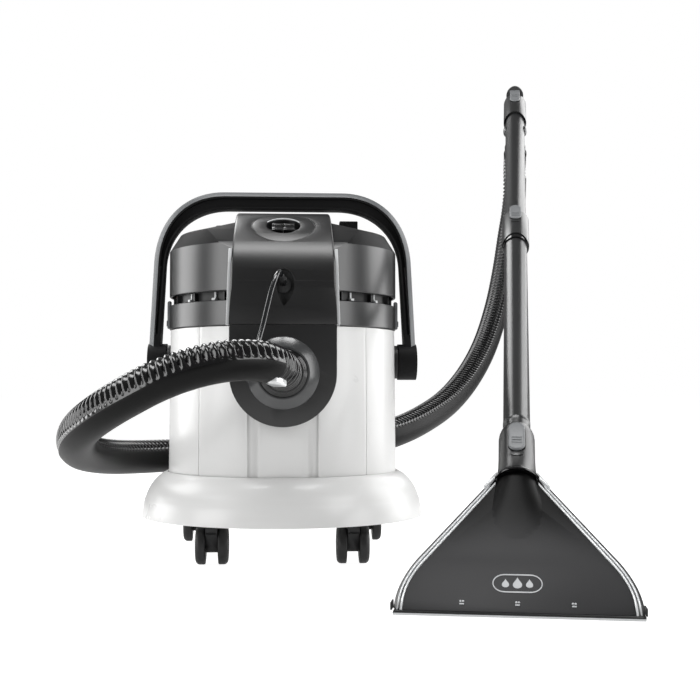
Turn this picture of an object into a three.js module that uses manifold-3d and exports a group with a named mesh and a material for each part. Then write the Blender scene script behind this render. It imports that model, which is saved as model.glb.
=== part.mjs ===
// A spray-extraction carpet cleaner: a round tub machine on twin-wheel casters, with a motor head, a carry
// handle that swings over it, a rear fresh water tank, a suction hose, and a two-tube wand with a floor tool.
// Millimetres, +Z up, -Y is the front. Each piece is drawn about the machine's vertical axis, and the finished
// group is then moved so that the origin is the middle of the whole part's footprint, on the floor.
import * as THREE from "three";
import { mergeVertices } from "three/addons/utils/BufferGeometryUtils.js";
import Module from "manifold-3d";

const wasm = await Module();
wasm.setup();

// ---------- driving dimensions ----------
const CENTRE = [151.4, 106.3]; // the middle of the whole part's footprint, seen from the machine's axis
const GAP = 0.3; // clearance between pieces that touch
const WALL = 3; // moulded wall
const CHASSIS = { radius: 193, bottom: 52, deck: 66, deckTop: 72, shoulder: 112, seat: 158.2 };
const TUB = { bottomRadius: 157.2, topRadius: 155.2, bottom: 72.3, top: 304.3 };
const REAR_CUT = 78; // the tub and head end here, and the water tank starts
const HEAD = { radius: 157, bottom: 305, slotBottom: 338, slotTop: 350, bandTop: 412, top: 458 };
const PIVOT_Z = 262; // carry handle's pivot line
const CROWN = 206; // radius of the front cover's crown about the pivot line
const ARCH = { y: -8, z: 263, radius: 195 }; // the head's roof from the side, so that the handle swings over it
const COVER = { front: -172, bottomHalf: 68, topHalf: 63, bottom: 305, top: 468 };
const PORT = { z: 243.6, radius: 67.5, bore: 24 };
const POD = { tilt: 31, radius: 42, recess: 22.5, thick: 14, floor: 11 }; // switch pod on the crown
const HANDLE = { halfDepth: 14, topZ: 498.5, innerZ: 474.5, endRadius: 25, endInner: 160.5, endOuter: 186, pin: 10 };
const CASTER = { wheel: 25, wheelWidth: 13, inner: 7.8, trail: 14, axle: 3, stem: 5 };
const CASTERS = { front_left: [-90, -138], front_right: [90, -138], rear_left: [-125, 100], rear_right: [125, 100] };
const MOTOR = { x: 0, y: -25, radius: 56 };
const WAND = { x: 229.7, y: -493, yaw: -11.4, lean: 37.5, axis: 6 }; // lip centre, heading, rise, tube offset
const TOOL = { half: 124, plate: 206, thick: 20, neck: 21.5, neckTop: 290 };
const TUBE = { bottomRadius: 15.75, topRadius: 16.75, bore: 13.5 };
const SOCKET = { radius: 20, bore: 17.2 };
const LOWER_TUBE = [262, 750]; // start and end along the wand's axis
const UPPER_TUBE = [720, 1185]; // with its socket on the lower end
const UPPER_SOCKET_TOP = 808;
const GRIP_SOCKET = [1152, 1250];
const BUTTONS = { tool: 257, middle: 797, top: 1234 }; // places along the wand's axis
const HOSE = { diameter: 48, steps: 44, sides: 12 };
const SPRAY_HOSE = { diameter: 6.5, steps: 14, sides: 8 };

// The hose's route from the machine's port, round the tub's left side and back, and up to the wand's grip.
const HOSE_ROUTE = [
  [0, -212.4, 243.6], [0, -226, 243.6], [-6, -258, 244.5], [-26, -290, 246.5], [-57, -313, 247], [-94, -324, 241],
  [-135, -321, 229.5], [-175, -304, 213], [-212, -272, 195], [-240, -226, 177], [-256, -170, 160],
  [-260, -111, 146], [-252, -52, 137], [-234, 6, 131], [-205, 62, 128], [-164, 112, 127], [-112, 152, 126.5],
  [-54, 179, 127], [6, 192, 129.5], [62, 201, 134], [112, 219, 141], [157.5, 248, 149], [195, 285, 159],
  [236, 334, 175], [287, 405, 203], [338, 490, 248], [385, 580, 310], [422, 655, 388], [447, 707, 466],
  [465, 745, 540], [477, 767, 590], [482.5, 775, 630], [482.5, 770, 660], [479.8, 753, 687],
  [476.8, 732, 706], [475.4, 725.2, 710.1],
];
const SPRAY_ROUTE = [
  [-3.1, -179, 366.2], [-3.9, -186, 369], [-8, -201, 363], [-14, -215, 345], [-19, -228, 323], [-24, -242, 300],
  [-28, -254, 284], [-31, -264, 274],
];

// ---------- materials ----------
const plastic = (color, roughness) => new THREE.MeshStandardMaterial({ color, roughness, metalness: 0 });
const white = plastic(0xf1f1f0, 0.35);
const black = plastic(0x17181a, 0.45);
const darkGrey = plastic(0x2d2e30, 0.5);
const midGrey = plastic(0x6f7173, 0.45);
const lightGrey = plastic(0xc9cacb, 0.35);
const rubber = plastic(0x0d0d0e, 0.7);
const smoked = plastic(0x3a3c3e, 0.15);
const tankPlastic = plastic(0xb9bec1, 0.25);
const foam = plastic(0x4a4a48, 0.95);
const steel = new THREE.MeshStandardMaterial({ color: 0xb8babd, roughness: 0.3, metalness: 1 });

// ---------- making and joining solids ----------
const rad = THREE.MathUtils.degToRad;
const X = new THREE.Vector3(1, 0, 0);
const Y = new THREE.Vector3(0, 1, 0);
const Z = new THREE.Vector3(0, 0, 1);

// A closed geometry as a solid, with its faces turned outwards.
function solid(geometry) {
  const bare = new THREE.BufferGeometry().setAttribute("position", geometry.getAttribute("position").clone());
  if (geometry.index) bare.setIndex(geometry.index);
  const merged = mergeVertices(bare, 1e-3);
  const place = merged.attributes.position;
  const [a, b, c] = [new THREE.Vector3(), new THREE.Vector3(), new THREE.Vector3()];
  const triangles = [];
  let volume = 0;
  for (let i = 0; i < merged.index.count; i += 3) {
    const [p, q, r] = [0, 1, 2].map((k) => merged.index.getX(i + k));
    if (p === q || q === r || r === p) continue;
    triangles.push([p, q, r]);
    volume += a.fromBufferAttribute(place, p).dot(b.fromBufferAttribute(place, q).cross(c.fromBufferAttribute(place, r)));
  }
  const triVerts = new Uint32Array(triangles.flatMap(([p, q, r]) => (volume < 0 ? [p, r, q] : [p, q, r])));
  return new wasm.Manifold(new wasm.Mesh({ numProp: 3, vertProperties: new Float32Array(place.array), triVerts }));
}

function geometryOf(made) {
  const mesh = made.getMesh();
  return new THREE.BufferGeometry()
    .setAttribute("position", new THREE.BufferAttribute(mesh.vertProperties, 3))
    .setIndex(new THREE.BufferAttribute(mesh.triVerts, 1));
}

const join = (...solids) => solids.reduce((all, next) => all.add(next));
const cut = (from, ...solids) => solids.reduce((left, next) => left.subtract(next), from);
const moved = (made, x, y, z) => made.translate([x, y, z]);

// Turned about Z from [radius, height] points; the outline closes on the axis or on itself.
function turned(outline, segments = 40) {
  const points = outline.map(([r, z]) => new THREE.Vector2(r, z));
  if (points[0].x > 0) points.push(points[0].clone());
  return solid(new THREE.LatheGeometry(points, segments).rotateX(Math.PI / 2));
}

// The same, about a line along Y through height z, with the outline's second number as y.
const turnedAlongY = (outline, z, segments = 40) => {
  const points = outline.map(([r, y]) => new THREE.Vector2(r, y));
  if (points[0].x > 0) points.push(points[0].clone());
  return solid(new THREE.LatheGeometry(points, segments).translate(0, 0, z));
};

function rod(radius, from, to, segments = 24) {
  const direction = new THREE.Vector3().subVectors(to, from);
  const shape = new THREE.CylinderGeometry(radius, radius, direction.length(), segments);
  shape.applyQuaternion(new THREE.Quaternion().setFromUnitVectors(Y, direction.clone().normalize()));
  return solid(shape.translate(...new THREE.Vector3().addVectors(from, to).multiplyScalar(0.5).toArray()));
}

const v = (x, y, z) => new THREE.Vector3(x, y, z);

function block([x0, y0, z0], [x1, y1, z1]) {
  const shape = new THREE.BoxGeometry(x1 - x0, y1 - y0, z1 - z0);
  return solid(shape.translate((x0 + x1) / 2, (y0 + y1) / 2, (z0 + z1) / 2));
}

// A flat outline pushed along one axis: "x" draws it in (y, z), "y" in (x, z) and "z" in (x, y).
function pushed(shape, axis, low, high, curveSegments = 10) {
  const made = new THREE.ExtrudeGeometry(shape, { depth: high - low, bevelEnabled: false, curveSegments });
  made.translate(0, 0, low);
  const turn = new THREE.Matrix4();
  if (axis === "x") turn.makeBasis(Y, Z, X);
  if (axis === "y") turn.makeBasis(X, Z, Y.clone().negate());
  made.applyMatrix4(turn);
  if (axis === "y") made.translate(0, low + high, 0);
  return solid(made);
}

function outlineOf(points) {
  return new THREE.Shape(points.map(([a, b]) => new THREE.Vector2(a, b)));
}

// A round tube along a smooth curve through the points.
function tubeAlong(points, diameter, steps, sides) {
  const curve = new THREE.CatmullRomCurve3(points.map((p) => v(...p)), false, "centripetal");
  const ring = new THREE.Shape().absarc(0, 0, diameter / 2, 0, 2 * Math.PI);
  const turns = { steps, extrudePath: curve, curveSegments: sides, bevelEnabled: false };
  return solid(new THREE.ExtrudeGeometry(ring, turns));
}

// A pill: two half rounds joined, standing along the second axis of its drawing.
function pill(width, length, middle, x = 0) {
  const r = width / 2;
  const shape = new THREE.Shape();
  shape.absarc(x, middle + length / 2 - r, r, 0, Math.PI);
  shape.absarc(x, middle - length / 2 + r, r, Math.PI, 2 * Math.PI);
  return shape;
}

const part = new THREE.Group();
const machine = new THREE.Group();
machine.position.set(-CENTRE[0], -CENTRE[1], 0);
part.add(machine);
function add(group, name, made, material) {
  const mesh = new THREE.Mesh(geometryOf(made), material);
  mesh.name = name;
  group.add(mesh);
  return mesh;
}

const behind = (y) => block([-300, y, 0], [300, 400, 700]);

// Everything under the roof's arch, grown by a gap.
function underArch(grow) {
  const { y, z } = ARCH;
  const radius = ARCH.radius + grow;
  const shape = new THREE.Shape();
  shape.moveTo(y - radius, 0);
  shape.lineTo(y - radius, z);
  shape.absarc(y, z, radius, Math.PI, 0, true);
  shape.lineTo(y + radius, 0);
  return pushed(shape, "x", -250, 250, 16);
}

const podFrame = (made) => moved(made.rotate([POD.tilt, 0, 0]),
  0, -CROWN * Math.sin(rad(POD.tilt)), PIVOT_Z + CROWN * Math.cos(rad(POD.tilt)));

// The well in the roof that the switch pod sits in.
const podWell = (grow) => podFrame(
  rod(POD.radius + 1 + grow, v(0, 0, -POD.thick - 2 * GAP - grow), v(0, 0, 30), 40));

// The solid shape of tub and head together, grown by a gap, which what sits on them is cut back from.
function hull(grow) {
  return turned([
    [0, TUB.bottom - grow], [TUB.bottomRadius + grow, TUB.bottom - grow], [TUB.topRadius + grow, TUB.top],
    [HEAD.radius + grow, HEAD.bottom], [HEAD.radius + grow, HEAD.bandTop], [143 + grow, 434 + grow],
    [71, 453 + grow], [0, HEAD.top + grow],
  ]).intersect(underArch(grow)).subtract(podWell(-grow));
}
const machineHull = hull(GAP);

// ---------- chassis, tub and water tank ----------
function chassis() {
  const { radius, bottom, deck, deckTop, shoulder, seat } = CHASSIS;
  const dish = turned([
    [0, deck], [186, deck], [189.5, bottom], [radius, bottom], [188.5, 75], [183, 90], [174, 102], [166, 108.5],
    [160, shoulder], [seat, shoulder], [seat, deckTop], [0, deckTop],
  ]);
  const sockets = Object.values(CASTERS).map(([x, y]) => rod(11, v(x, y, 62.5), v(x, y, deck + 1), 16));
  const holes = Object.values(CASTERS).map(([x, y]) => rod(CASTER.stem + GAP, v(x, y, 60), v(x, y, 71), 16));
  return cut(join(dish, ...sockets), ...holes);
}

function tub() {
  const { bottomRadius, topRadius, bottom, top } = TUB;
  const outer = turned([[0, bottom], [bottomRadius, bottom], [topRadius, top], [0, top]]);
  const inner = turned([[0, bottom + WALL], [bottomRadius - WALL, bottom + WALL], [topRadius - WALL, top + 1], [0, top + 1]]);
  const port = rod(PORT.bore, v(0, -200, PORT.z), v(0, -100, PORT.z));
  return cut(outer, behind(REAR_CUT), cut(inner, behind(REAR_CUT - WALL)), port);
}

const CAP = { tilt: 35, neck: 20, bore: 16.5, seat: 197, skirt: 192.5 };
const TANK_VALVE_Y = 118;
const capFrame = (made) => moved(made.rotate([-CAP.tilt, 0, 0]), 0, 0, PIVOT_Z);
function waterTank() {
  const shape = (inset) => turned([
    [0, TUB.bottom + inset], [TUB.bottomRadius - inset, TUB.bottom + inset], [TUB.topRadius - inset, TUB.top],
    [HEAD.radius - inset, HEAD.bottom + 4], [HEAD.radius - inset, HEAD.bandTop - inset / 2],
    [143 - inset / 2, 434 - inset], [71, 453 - inset], [0, HEAD.top - inset],
  ]).intersect(underArch(-inset));
  const front = (y) => block([-300, -300, 0], [300, y, 700]);
  const shell = cut(shape(0), front(REAR_CUT + GAP));
  const hollow = cut(shape(WALL), front(REAR_CUT + GAP + WALL));
  const neck = capFrame(rod(CAP.neck, v(0, 0, 184), v(0, 0, CAP.seat)));
  const mouth = capFrame(rod(CAP.bore, v(0, 0, 170), v(0, 0, 220)));
  const valveHole = rod(7 + GAP, v(0, TANK_VALVE_Y, 60), v(0, TANK_VALVE_Y, 90), 16);
  return cut(join(cut(shell, hollow), neck), mouth, hollow, valveHole);
}

const tankCap = () => capFrame(turned([
  [0, CAP.seat + GAP], [CAP.neck + GAP, CAP.seat + GAP], [CAP.neck + GAP, CAP.skirt], [CAP.neck + 3.5, CAP.skirt],
  [CAP.neck + 3.5, CAP.seat + 4], [CAP.neck + 1.5, CAP.seat + 6], [0, CAP.seat + 6],
], 24));

const tankValve = () => turned([
  [0, TUB.bottom + 0.2], [7, TUB.bottom + 0.2], [7, 75.7], [11, 75.7], [11, 79], [5, 90], [0, 90],
], 16).translate([0, TANK_VALVE_Y, 0]);

// ---------- motor head ----------
function motorPlate() {
  const { radius, bottom, slotBottom } = HEAD;
  const dish = turned([
    [0, bottom], [radius, bottom], [radius, slotBottom], [radius - WALL, slotBottom], [radius - WALL, bottom + 4],
    [0, bottom + 4],
  ]);
  return cut(dish, behind(REAR_CUT), rod(13, v(MOTOR.x, MOTOR.y, 300), v(MOTOR.x, MOTOR.y, 320)));
}

function ventRing() {
  const bottom = HEAD.bottom + 4 + GAP;
  const ring = turned([[143, bottom], [146, bottom], [146, 356], [143, 356]]);
  const fins = [];
  for (let angle = -60; angle <= 240; angle += 20) {
    const fin = block([145, -1, HEAD.slotBottom - 4], [152, 1, HEAD.slotTop - GAP]);
    fins.push(fin.rotate([0, 0, angle - 180]));
  }
  return cut(join(ring, ...fins), behind(REAR_CUT));
}

function headCover() {
  const { radius, slotTop, bandTop, top } = HEAD;
  const outer = turned([[0, slotTop], [radius, slotTop], [radius, bandTop], [143, 434], [71, 453], [0, top]]);
  const inner = turned([
    [0, slotTop - 1], [radius - WALL, slotTop - 1], [radius - WALL, bandTop - 1.5], [141.5, 431], [70.5, 450],
    [0, top - WALL],
  ]);
  const hollow = inner.intersect(underArch(-WALL)).subtract(podWell(WALL));
  return cut(outer.intersect(underArch(0)), hollow, podWell(0), behind(REAR_CUT));
}

// The front cover's side outline in (y, z): a steep front that turns into the crown over the head.
function crownOutline(inset) {
  const shape = new THREE.Shape();
  const crown = CROWN - inset;
  const start = Math.acos((-COVER.front * 0.815) / crown); // where the crown's arc begins, from the horizontal
  shape.moveTo(COVER.front + inset, COVER.bottom - inset);
  shape.lineTo(COVER.front + inset + 2, 352);
  shape.quadraticCurveTo(COVER.front + inset + 5, 388, -crown * Math.cos(start), PIVOT_Z + crown * Math.sin(start));
  const end = Math.acos(REAR_CUT / crown);
  shape.absarc(0, PIVOT_Z, crown, Math.PI - start, end, true);
  shape.lineTo(REAR_CUT, 300 - inset);
  shape.lineTo(COVER.front + inset, COVER.bottom - inset);
  return shape;
}

// Narrows a solid evenly towards the cover's top.
const tapered = (made) => made.warp((p) => {
  const share = THREE.MathUtils.clamp((p[2] - COVER.bottom) / (COVER.top - COVER.bottom), 0, 1);
  p[0] *= 1 + share * (COVER.topHalf / COVER.bottomHalf - 1);
});


function frontCover() {
  const outer = tapered(pushed(crownOutline(0), "x", -COVER.bottomHalf, COVER.bottomHalf));
  const inner = tapered(pushed(crownOutline(WALL), "x", -COVER.bottomHalf + WALL, COVER.bottomHalf - WALL));
  const below = block([-100, -300, 200], [100, 100, COVER.bottom]);
  const podHole = podFrame(rod(POD.radius + GAP, v(0, 0, -20), v(0, 0, 20), 40));
  const sprayHole = pushed(pill(24, 36, 356), "y", -200, -160);
  return cut(outer, inner, machineHull, below, podHole, sprayHole);
}

function switchPod() {
  const crown = tapered(pushed(crownOutline(0), "x", -COVER.bottomHalf, COVER.bottomHalf));
  const plug = podFrame(rod(POD.radius, v(0, 0, -POD.thick), v(0, 0, 20), 40));
  const recess = podFrame(rod(POD.recess, v(0, 0, -POD.floor), v(0, 0, 20), 32));
  return cut(plug.intersect(crown), recess, machineHull);
}

const podButton = (side) => podFrame(block([side > 0 ? 0.6 : -14.6, -11, -7.6], [side > 0 ? 14.6 : -0.6, 11, -1.5]));

function sideTrim(side) {
  const strip = outlineOf([[68.4, 305], [72.4, 305], [69.2, 402], [65.2, 402]].map(([x, z]) => [side * x, z]));
  return cut(pushed(strip, "y", -156, -130), machineHull);
}

function portPanel() {
  const outline = (inset) => {
    const shape = new THREE.Shape();
    const r = PORT.radius - inset;
    shape.moveTo(r, 304.4 - inset);
    shape.lineTo(-r, 304.4 - inset);
    shape.absarc(0, PORT.z, r, Math.PI, 2 * Math.PI);
    return shape;
  };
  const outer = pushed(outline(0), "y", COVER.front, -120, 20);
  const inner = pushed(outline(WALL), "y", COVER.front + WALL, -100, 20);
  const collar = rod(PORT.bore + WALL, v(0, -180, PORT.z), v(0, -120, PORT.z));
  const bore = rod(PORT.bore, v(0, -200, PORT.z), v(0, -100, PORT.z));
  return cut(outer, cut(inner, collar), bore, machineHull);
}

const portRing = () => turnedAlongY([
  [30.5, COVER.front - GAP], [46, COVER.front - GAP], [44.5, COVER.front - 3], [33, -183], [30.5, -183],
], PORT.z);

const hoseCuff = () => turnedAlongY([
  [19, -152], [23.7, -152], [23.7, -172.3], [29.9, -172.3], [29.9, -190], [28, -192], [28, -199], [26, -201],
  [26, -212], [19, -212],
], PORT.z);

function intakeElbow() {
  const across = rod(26, v(0, -149.5, PORT.z), v(0, -95, PORT.z));
  const down = rod(26, v(0, -121, 190), v(0, -121, PORT.z));
  const bores = [rod(22, v(0, -152, PORT.z), v(0, -99, PORT.z)), rod(22, v(0, -121, 180), v(0, -121, PORT.z + 10))];
  return cut(join(across, down), ...bores, cut(hull(20), hull(-WALL - 1)));
}

const sprayOutlet = () => join(
  rod(11, v(0, -166, 356), v(0, -163, 356), 20), rod(6, v(0, -165, 358), v(0, -172, 362), 16),
  rod(5.2, v(-2, -170, 362), v(-3, -178.5, 366), 16),
);

function cordHook() {
  const stem = rod(6, v(93, 30, 440), v(93, 30, 458), 16);
  const plate = join(block([80, 23, 457], [106, 37, 464]), block([80, 23, 452], [84, 37, 458]));
  return cut(join(stem, plate), machineHull);
}

const cordGland = () => cut(
  rod(9, v(-88, 50, 435), v(-88, 50, 459), 16), rod(4, v(-88, 50, 452), v(-88, 50, 470), 16), machineHull,
);

// ---------- inside the head ----------
const onMotor = (made) => moved(made, MOTOR.x, MOTOR.y, 0);
const fanHousing = () => onMotor(turned([
  [20, 310], [58, 310], [60, 312], [60, 340], [26, 340], [26, 337], [57, 337], [57, 313], [20, 313],
], 32));
const vacuumMotor = () => onMotor(turned([
  [0, 340.4], [46, 340.4], [46, 352], [40, 354], [40, 410], [30, 414], [0, 414],
], 24));
const impeller = () => {
  const hub = turned([[0, 315], [50, 315], [50, 317], [14, 319], [10, 334], [0, 334]], 24);
  const blades = [];
  for (let i = 0; i < 7; i++) blades.push(block([9, -1, 316], [49, 1, 329]).rotate([0, 0, (360 / 7) * i]));
  return onMotor(join(hub, ...blades));
};
const waterPump = () => join(block([72, -30, 309.6], [106, 30, 344]), rod(8, v(89, 29, 328), v(89, 44, 328), 16));
const FLOAT = { radius: 17, bottom: 262 };
const floatCage = () => {
  const wall = onMotor(turned([[26, 304.6], [29, 304.6], [29, 248], [0, 248], [0, 251], [26, 251]], 24));
  const windows = [0, 60, 120].map((angle) => onMotor(block([-40, -8, 256], [40, 8, 292]).rotate([0, 0, angle])));
  return cut(wall, ...windows);
};
const floatBall = () => onMotor(solid(new THREE.SphereGeometry(FLOAT.radius, 16, 12).translate(0, 0, FLOAT.bottom + 10)));
const foamFilter = () => onMotor(turned([[29.5, 258], [36, 258], [36, 290], [29.5, 290]], 24));

// ---------- carry handle ----------
function handleOutline() {
  const { topZ, innerZ } = HANDLE;
  const shape = new THREE.Shape();
  shape.moveTo(186, 262);
  shape.lineTo(179, 395);
  shape.bezierCurveTo(176.5, 462, 135, topZ, 82, topZ);
  shape.lineTo(-82, topZ);
  shape.bezierCurveTo(-135, topZ, -176.5, 462, -179, 395);
  shape.lineTo(-186, 262);
  shape.lineTo(-170, 262);
  shape.lineTo(-163, 395);
  shape.bezierCurveTo(-160, 443, -124, innerZ, -76, innerZ);
  shape.lineTo(76, innerZ);
  shape.bezierCurveTo(124, innerZ, 160, 443, 163, 395);
  shape.lineTo(170, 262);
  return shape;
}

function carryHandle() {
  const { halfDepth, endRadius, endInner, endOuter, pin } = HANDLE;
  const bow = pushed(handleOutline(), "y", -halfDepth, halfDepth, 12);
  const ends = [-1, 1].map((side) => rod(endRadius, v(side * endInner, 0, PIVOT_Z), v(side * endOuter, 0, PIVOT_Z), 28));
  const holes = [-1, 1].map((side) => rod(pin + GAP, v(side * 150, 0, PIVOT_Z), v(side * 182, 0, PIVOT_Z), 20));
  return cut(join(bow, ...ends), ...holes);
}

function handlePivot(side) {
  const plate = rod(23, v(side * 148, 0, PIVOT_Z), v(side * 160, 0, PIVOT_Z), 24);
  return cut(join(plate, rod(HANDLE.pin, v(side * 155, 0, PIVOT_Z), v(side * 181.5, 0, PIVOT_Z), 20)), machineHull);
}

// ---------- casters ----------
function casterFork() {
  const { wheel, inner, trail, axle } = CASTER;
  const side = new THREE.Shape();
  side.moveTo(-11, 61);
  side.lineTo(-11, 46);
  side.lineTo(trail - 10, wheel - 3);
  side.absarc(trail, wheel, 10, Math.PI + 0.3, 2 * Math.PI + 0.6);
  side.lineTo(trail + 10, 44);
  side.lineTo(11, 54);
  side.lineTo(11, 61);
  const fin = pushed(side, "x", -inner + GAP, inner - GAP, 6);
  const collar = rod(11, v(0, 0, 52.5), v(0, 0, 62.2), 16);
  const stem = rod(CASTER.stem, v(0, 0, 60), v(0, 0, 70.5), 16);
  const pin = rod(axle, v(-19, trail, wheel), v(19, trail, wheel), 12);
  return join(fin, collar, stem, pin);
}

function casterWheel(side) {
  const { wheel, wheelWidth, inner, trail, axle } = CASTER;
  const w = wheelWidth;
  const tyre = turned([
    [axle + GAP, 0], [wheel - 1, 0], [wheel, 1.5], [wheel, w - 5], [wheel - 2, w - 2], [wheel - 6, w], [axle + GAP, w],
  ], 20);
  return moved(tyre.rotate([0, side * 90, 0]), side * inner, trail, wheel);
}

// ---------- wand ----------
const WAND_TURN = -(90 - WAND.lean); // turns the wand's own Z axis back from the vertical
const leaned = (made) => made.rotate([WAND_TURN, 0, 0]);
const alongWand = (outline, segments = 28) => moved(turned(outline, segments), 0, WAND.axis, 0);

// The floor tool's outline in (across, along), drawn inset mm inside its edge.
function toolOutline(inset, bottom = -20) {
  const half = TOOL.half - inset;
  const slope = inset * 1.17;
  const shape = new THREE.Shape();
  shape.moveTo(-half, bottom);
  shape.lineTo(half, bottom);
  shape.lineTo(half - 1.5, 16);
  shape.quadraticCurveTo(half - 3, 44, 104 - slope, 75 - inset / 4);
  shape.lineTo(24 - inset / 2, TOOL.plate - slope);
  shape.lineTo(-24 + inset / 2, TOOL.plate - slope);
  shape.lineTo(-104 + slope, 75 - inset / 4);
  shape.quadraticCurveTo(-half + 3, 44, -half + 1.5, 16);
  return shape;
}

const floorCut = (z) => block([-300, -300, -200], [300, 300, z]);

function toolBody() {
  const shell = pushed(toolOutline(0), "y", 0, TOOL.thick, 8);
  const hollow = pushed(toolOutline(WALL + 4), "y", -1, TOOL.thick - WALL, 8);
  const neck = alongWand([[0, 188], [TOOL.neck + 1, 200], [TOOL.neck, 225], [TOOL.neck, 284], [TOOL.neck - 3, TOOL.neckTop],
    [0, TOOL.neckTop]]);
  const bore = alongWand([[0, 150], [14, 150], [14, 258], [SOCKET.bore, 258], [SOCKET.bore, 300], [0, 300]]);
  const pocket = pushed(pill(19.4, 48.8, BUTTONS.tool), "y", -30, WAND.axis - 18.2);
  const cap = pushed(toolOutline(5.5), "y", -40, 0, 8);
  const body = cut(join(cut(shell, hollow), neck), bore, pocket, cap.intersect(block([-200, -60, -60], [200, 0, 215])));
  return cut(leaned(body), floorCut(4.3));
}

function toolCover() {
  const plate = pushed(toolOutline(6), "y", -4, -GAP, 8);
  const rib = pushed(toolOutline(8.5), "y", -GAP - 0.5, 3, 8);
  const inside = pushed(toolOutline(11), "y", -GAP - 2.5, 6, 8);
  const neck = alongWand([[0, 180], [TOOL.neck + 2, 180], [TOOL.neck + 2, 260], [0, 260]]);
  return cut(leaned(cut(join(plate, rib), inside, neck)), floorCut(4.3));
}

function toolLip() {
  const frame = block([-122.5, -6, 0], [122.5, 32, 4]);
  return cut(frame, block([-114, 4, -1], [114, 20, 5]), block([-130, -20, 2.5], [-122, 40, 9]));
}

function sprayBar() {
  const y = TOOL.thick + 4.5;
  const bar = rod(4, v(-78, y, 78), v(78, y, 78), 12);
  const jets = [-55, 0, 55].map((x) => rod(2.6, v(x, y + 8, 74), v(x, y, 78), 10));
  return leaned(join(bar, ...jets));
}

const slideButton = (width, length, place, top, depth) =>
  leaned(pushed(pill(width, length, place), "y", WAND.axis - top, WAND.axis - top + depth));

const lowerTube = () => {
  const [from, to] = LOWER_TUBE;
  return leaned(alongWand([[TUBE.bore, from], [TUBE.bottomRadius, from], [TUBE.topRadius, to], [TUBE.bore, to]]));
};

function upperTube() {
  const [from, to] = UPPER_TUBE;
  const top = UPPER_SOCKET_TOP;
  const tube = alongWand([
    [SOCKET.bore, from], [SOCKET.radius, from], [SOCKET.radius, top - 8], [TUBE.bottomRadius, top],
    [TUBE.topRadius, to], [TUBE.bore, to], [TUBE.bore, 760], [SOCKET.bore, 752],
  ]);
  return leaned(cut(tube, pushed(pill(18.4, 40.8, BUTTONS.middle - 6), "y", -30, WAND.axis - 18.2)));
}

// The grip's line in (back, up) from the lip, past the socket.
const GRIP_LINE = [[0, 984, 764.5], [0, 1040, 779.5], [0, 1090, 781], [0, 1140, 768], [0, 1190, 741], [0, 1218, 724.5]];

const LEVER = { y: 1060, z: 756.5, pin: 2, open: 9 }; // its pivot, and how far it hangs open
function wandGrip() {
  const [from, to] = GRIP_SOCKET;
  const socket = leaned(alongWand([
    [0, from], [SOCKET.radius, from], [SOCKET.radius, to - 12], [17, to], [0, to],
  ]));
  const bore = leaned(alongWand([[0, from - 5], [SOCKET.bore, from - 5], [SOCKET.bore, 1188], [0, 1188]]));
  const pocket = leaned(pushed(pill(18.4, 60.8, BUTTONS.top), "y", -30, WAND.axis - 18.2));
  const grip = tubeAlong(GRIP_LINE, 34, 10, 16);
  const { y, z, pin } = LEVER;
  const cheeks = [-1, 1].map((side) => block([side * 10 - 1.7, y - 7, z - 6], [side * 10 + 1.7, y + 7, z + 12]));
  return cut(join(socket, grip, ...cheeks, rod(pin, v(-9, y, z), v(9, y, z), 12)), bore, pocket);
}

function sprayLever() {
  const { y, z, pin, open } = LEVER;
  const side = outlineOf([[1055, 761.5], [1066, 762], [1092, 762.5], [1128, 752], [1150, 737], [1144, 730],
    [1112, 743], [1078, 751], [1056, 750]]);
  const lever = cut(pushed(side, "x", -8, 8), rod(pin + GAP, v(-20, y, z), v(20, y, z), 12));
  return moved(moved(lever, 0, -y, -z).rotate([-open, 0, 0]), 0, y, z);
}

const hoseEnd = () => {
  const [a, b] = [v(0, 1218.6, 724.1), v(0, 1242, 710.3)];
  return rod(21, a, b, 24);
};

// ---------- putting it together ----------
add(machine, "chassis", chassis(), white);
add(machine, "tub", tub(), white);
add(machine, "water_tank", waterTank(), tankPlastic);
add(machine, "tank_cap", tankCap(), black);
add(machine, "tank_valve", tankValve(), darkGrey);
add(machine, "motor_plate", motorPlate(), darkGrey);
add(machine, "vent_ring", ventRing(), black);
add(machine, "head_cover", headCover(), darkGrey);
add(machine, "front_cover", frontCover(), black);
add(machine, "switch_pod", switchPod(), black);
add(machine, "suction_button", podButton(-1), darkGrey);
add(machine, "spray_button", podButton(1), darkGrey);
add(machine, "side_trim_left", sideTrim(-1), lightGrey);
add(machine, "side_trim_right", sideTrim(1), lightGrey);
add(machine, "port_panel", portPanel(), black);
add(machine, "port_ring", portRing(), midGrey);
add(machine, "hose_cuff", hoseCuff(), black);
add(machine, "intake_elbow", intakeElbow(), darkGrey);
add(machine, "spray_outlet", sprayOutlet(), midGrey);
add(machine, "cord_hook", cordHook(), black);
add(machine, "cord_gland", cordGland(), rubber);
add(machine, "fan_housing", fanHousing(), darkGrey);
add(machine, "vacuum_motor", vacuumMotor(), steel);
add(machine, "impeller", impeller(), steel);
add(machine, "water_pump", waterPump(), darkGrey);
add(machine, "float_cage", floatCage(), darkGrey);
add(machine, "float_ball", floatBall(), lightGrey);
add(machine, "foam_filter", foamFilter(), foam);
add(machine, "carry_handle", carryHandle(), darkGrey);
add(machine, "handle_pivot_left", handlePivot(-1), black);
add(machine, "handle_pivot_right", handlePivot(1), black);
add(machine, "suction_hose", tubeAlong(HOSE_ROUTE, HOSE.diameter, HOSE.steps, HOSE.sides), rubber);
add(machine, "spray_hose", tubeAlong(SPRAY_ROUTE, SPRAY_HOSE.diameter, SPRAY_HOSE.steps, SPRAY_HOSE.sides), rubber);

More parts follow.
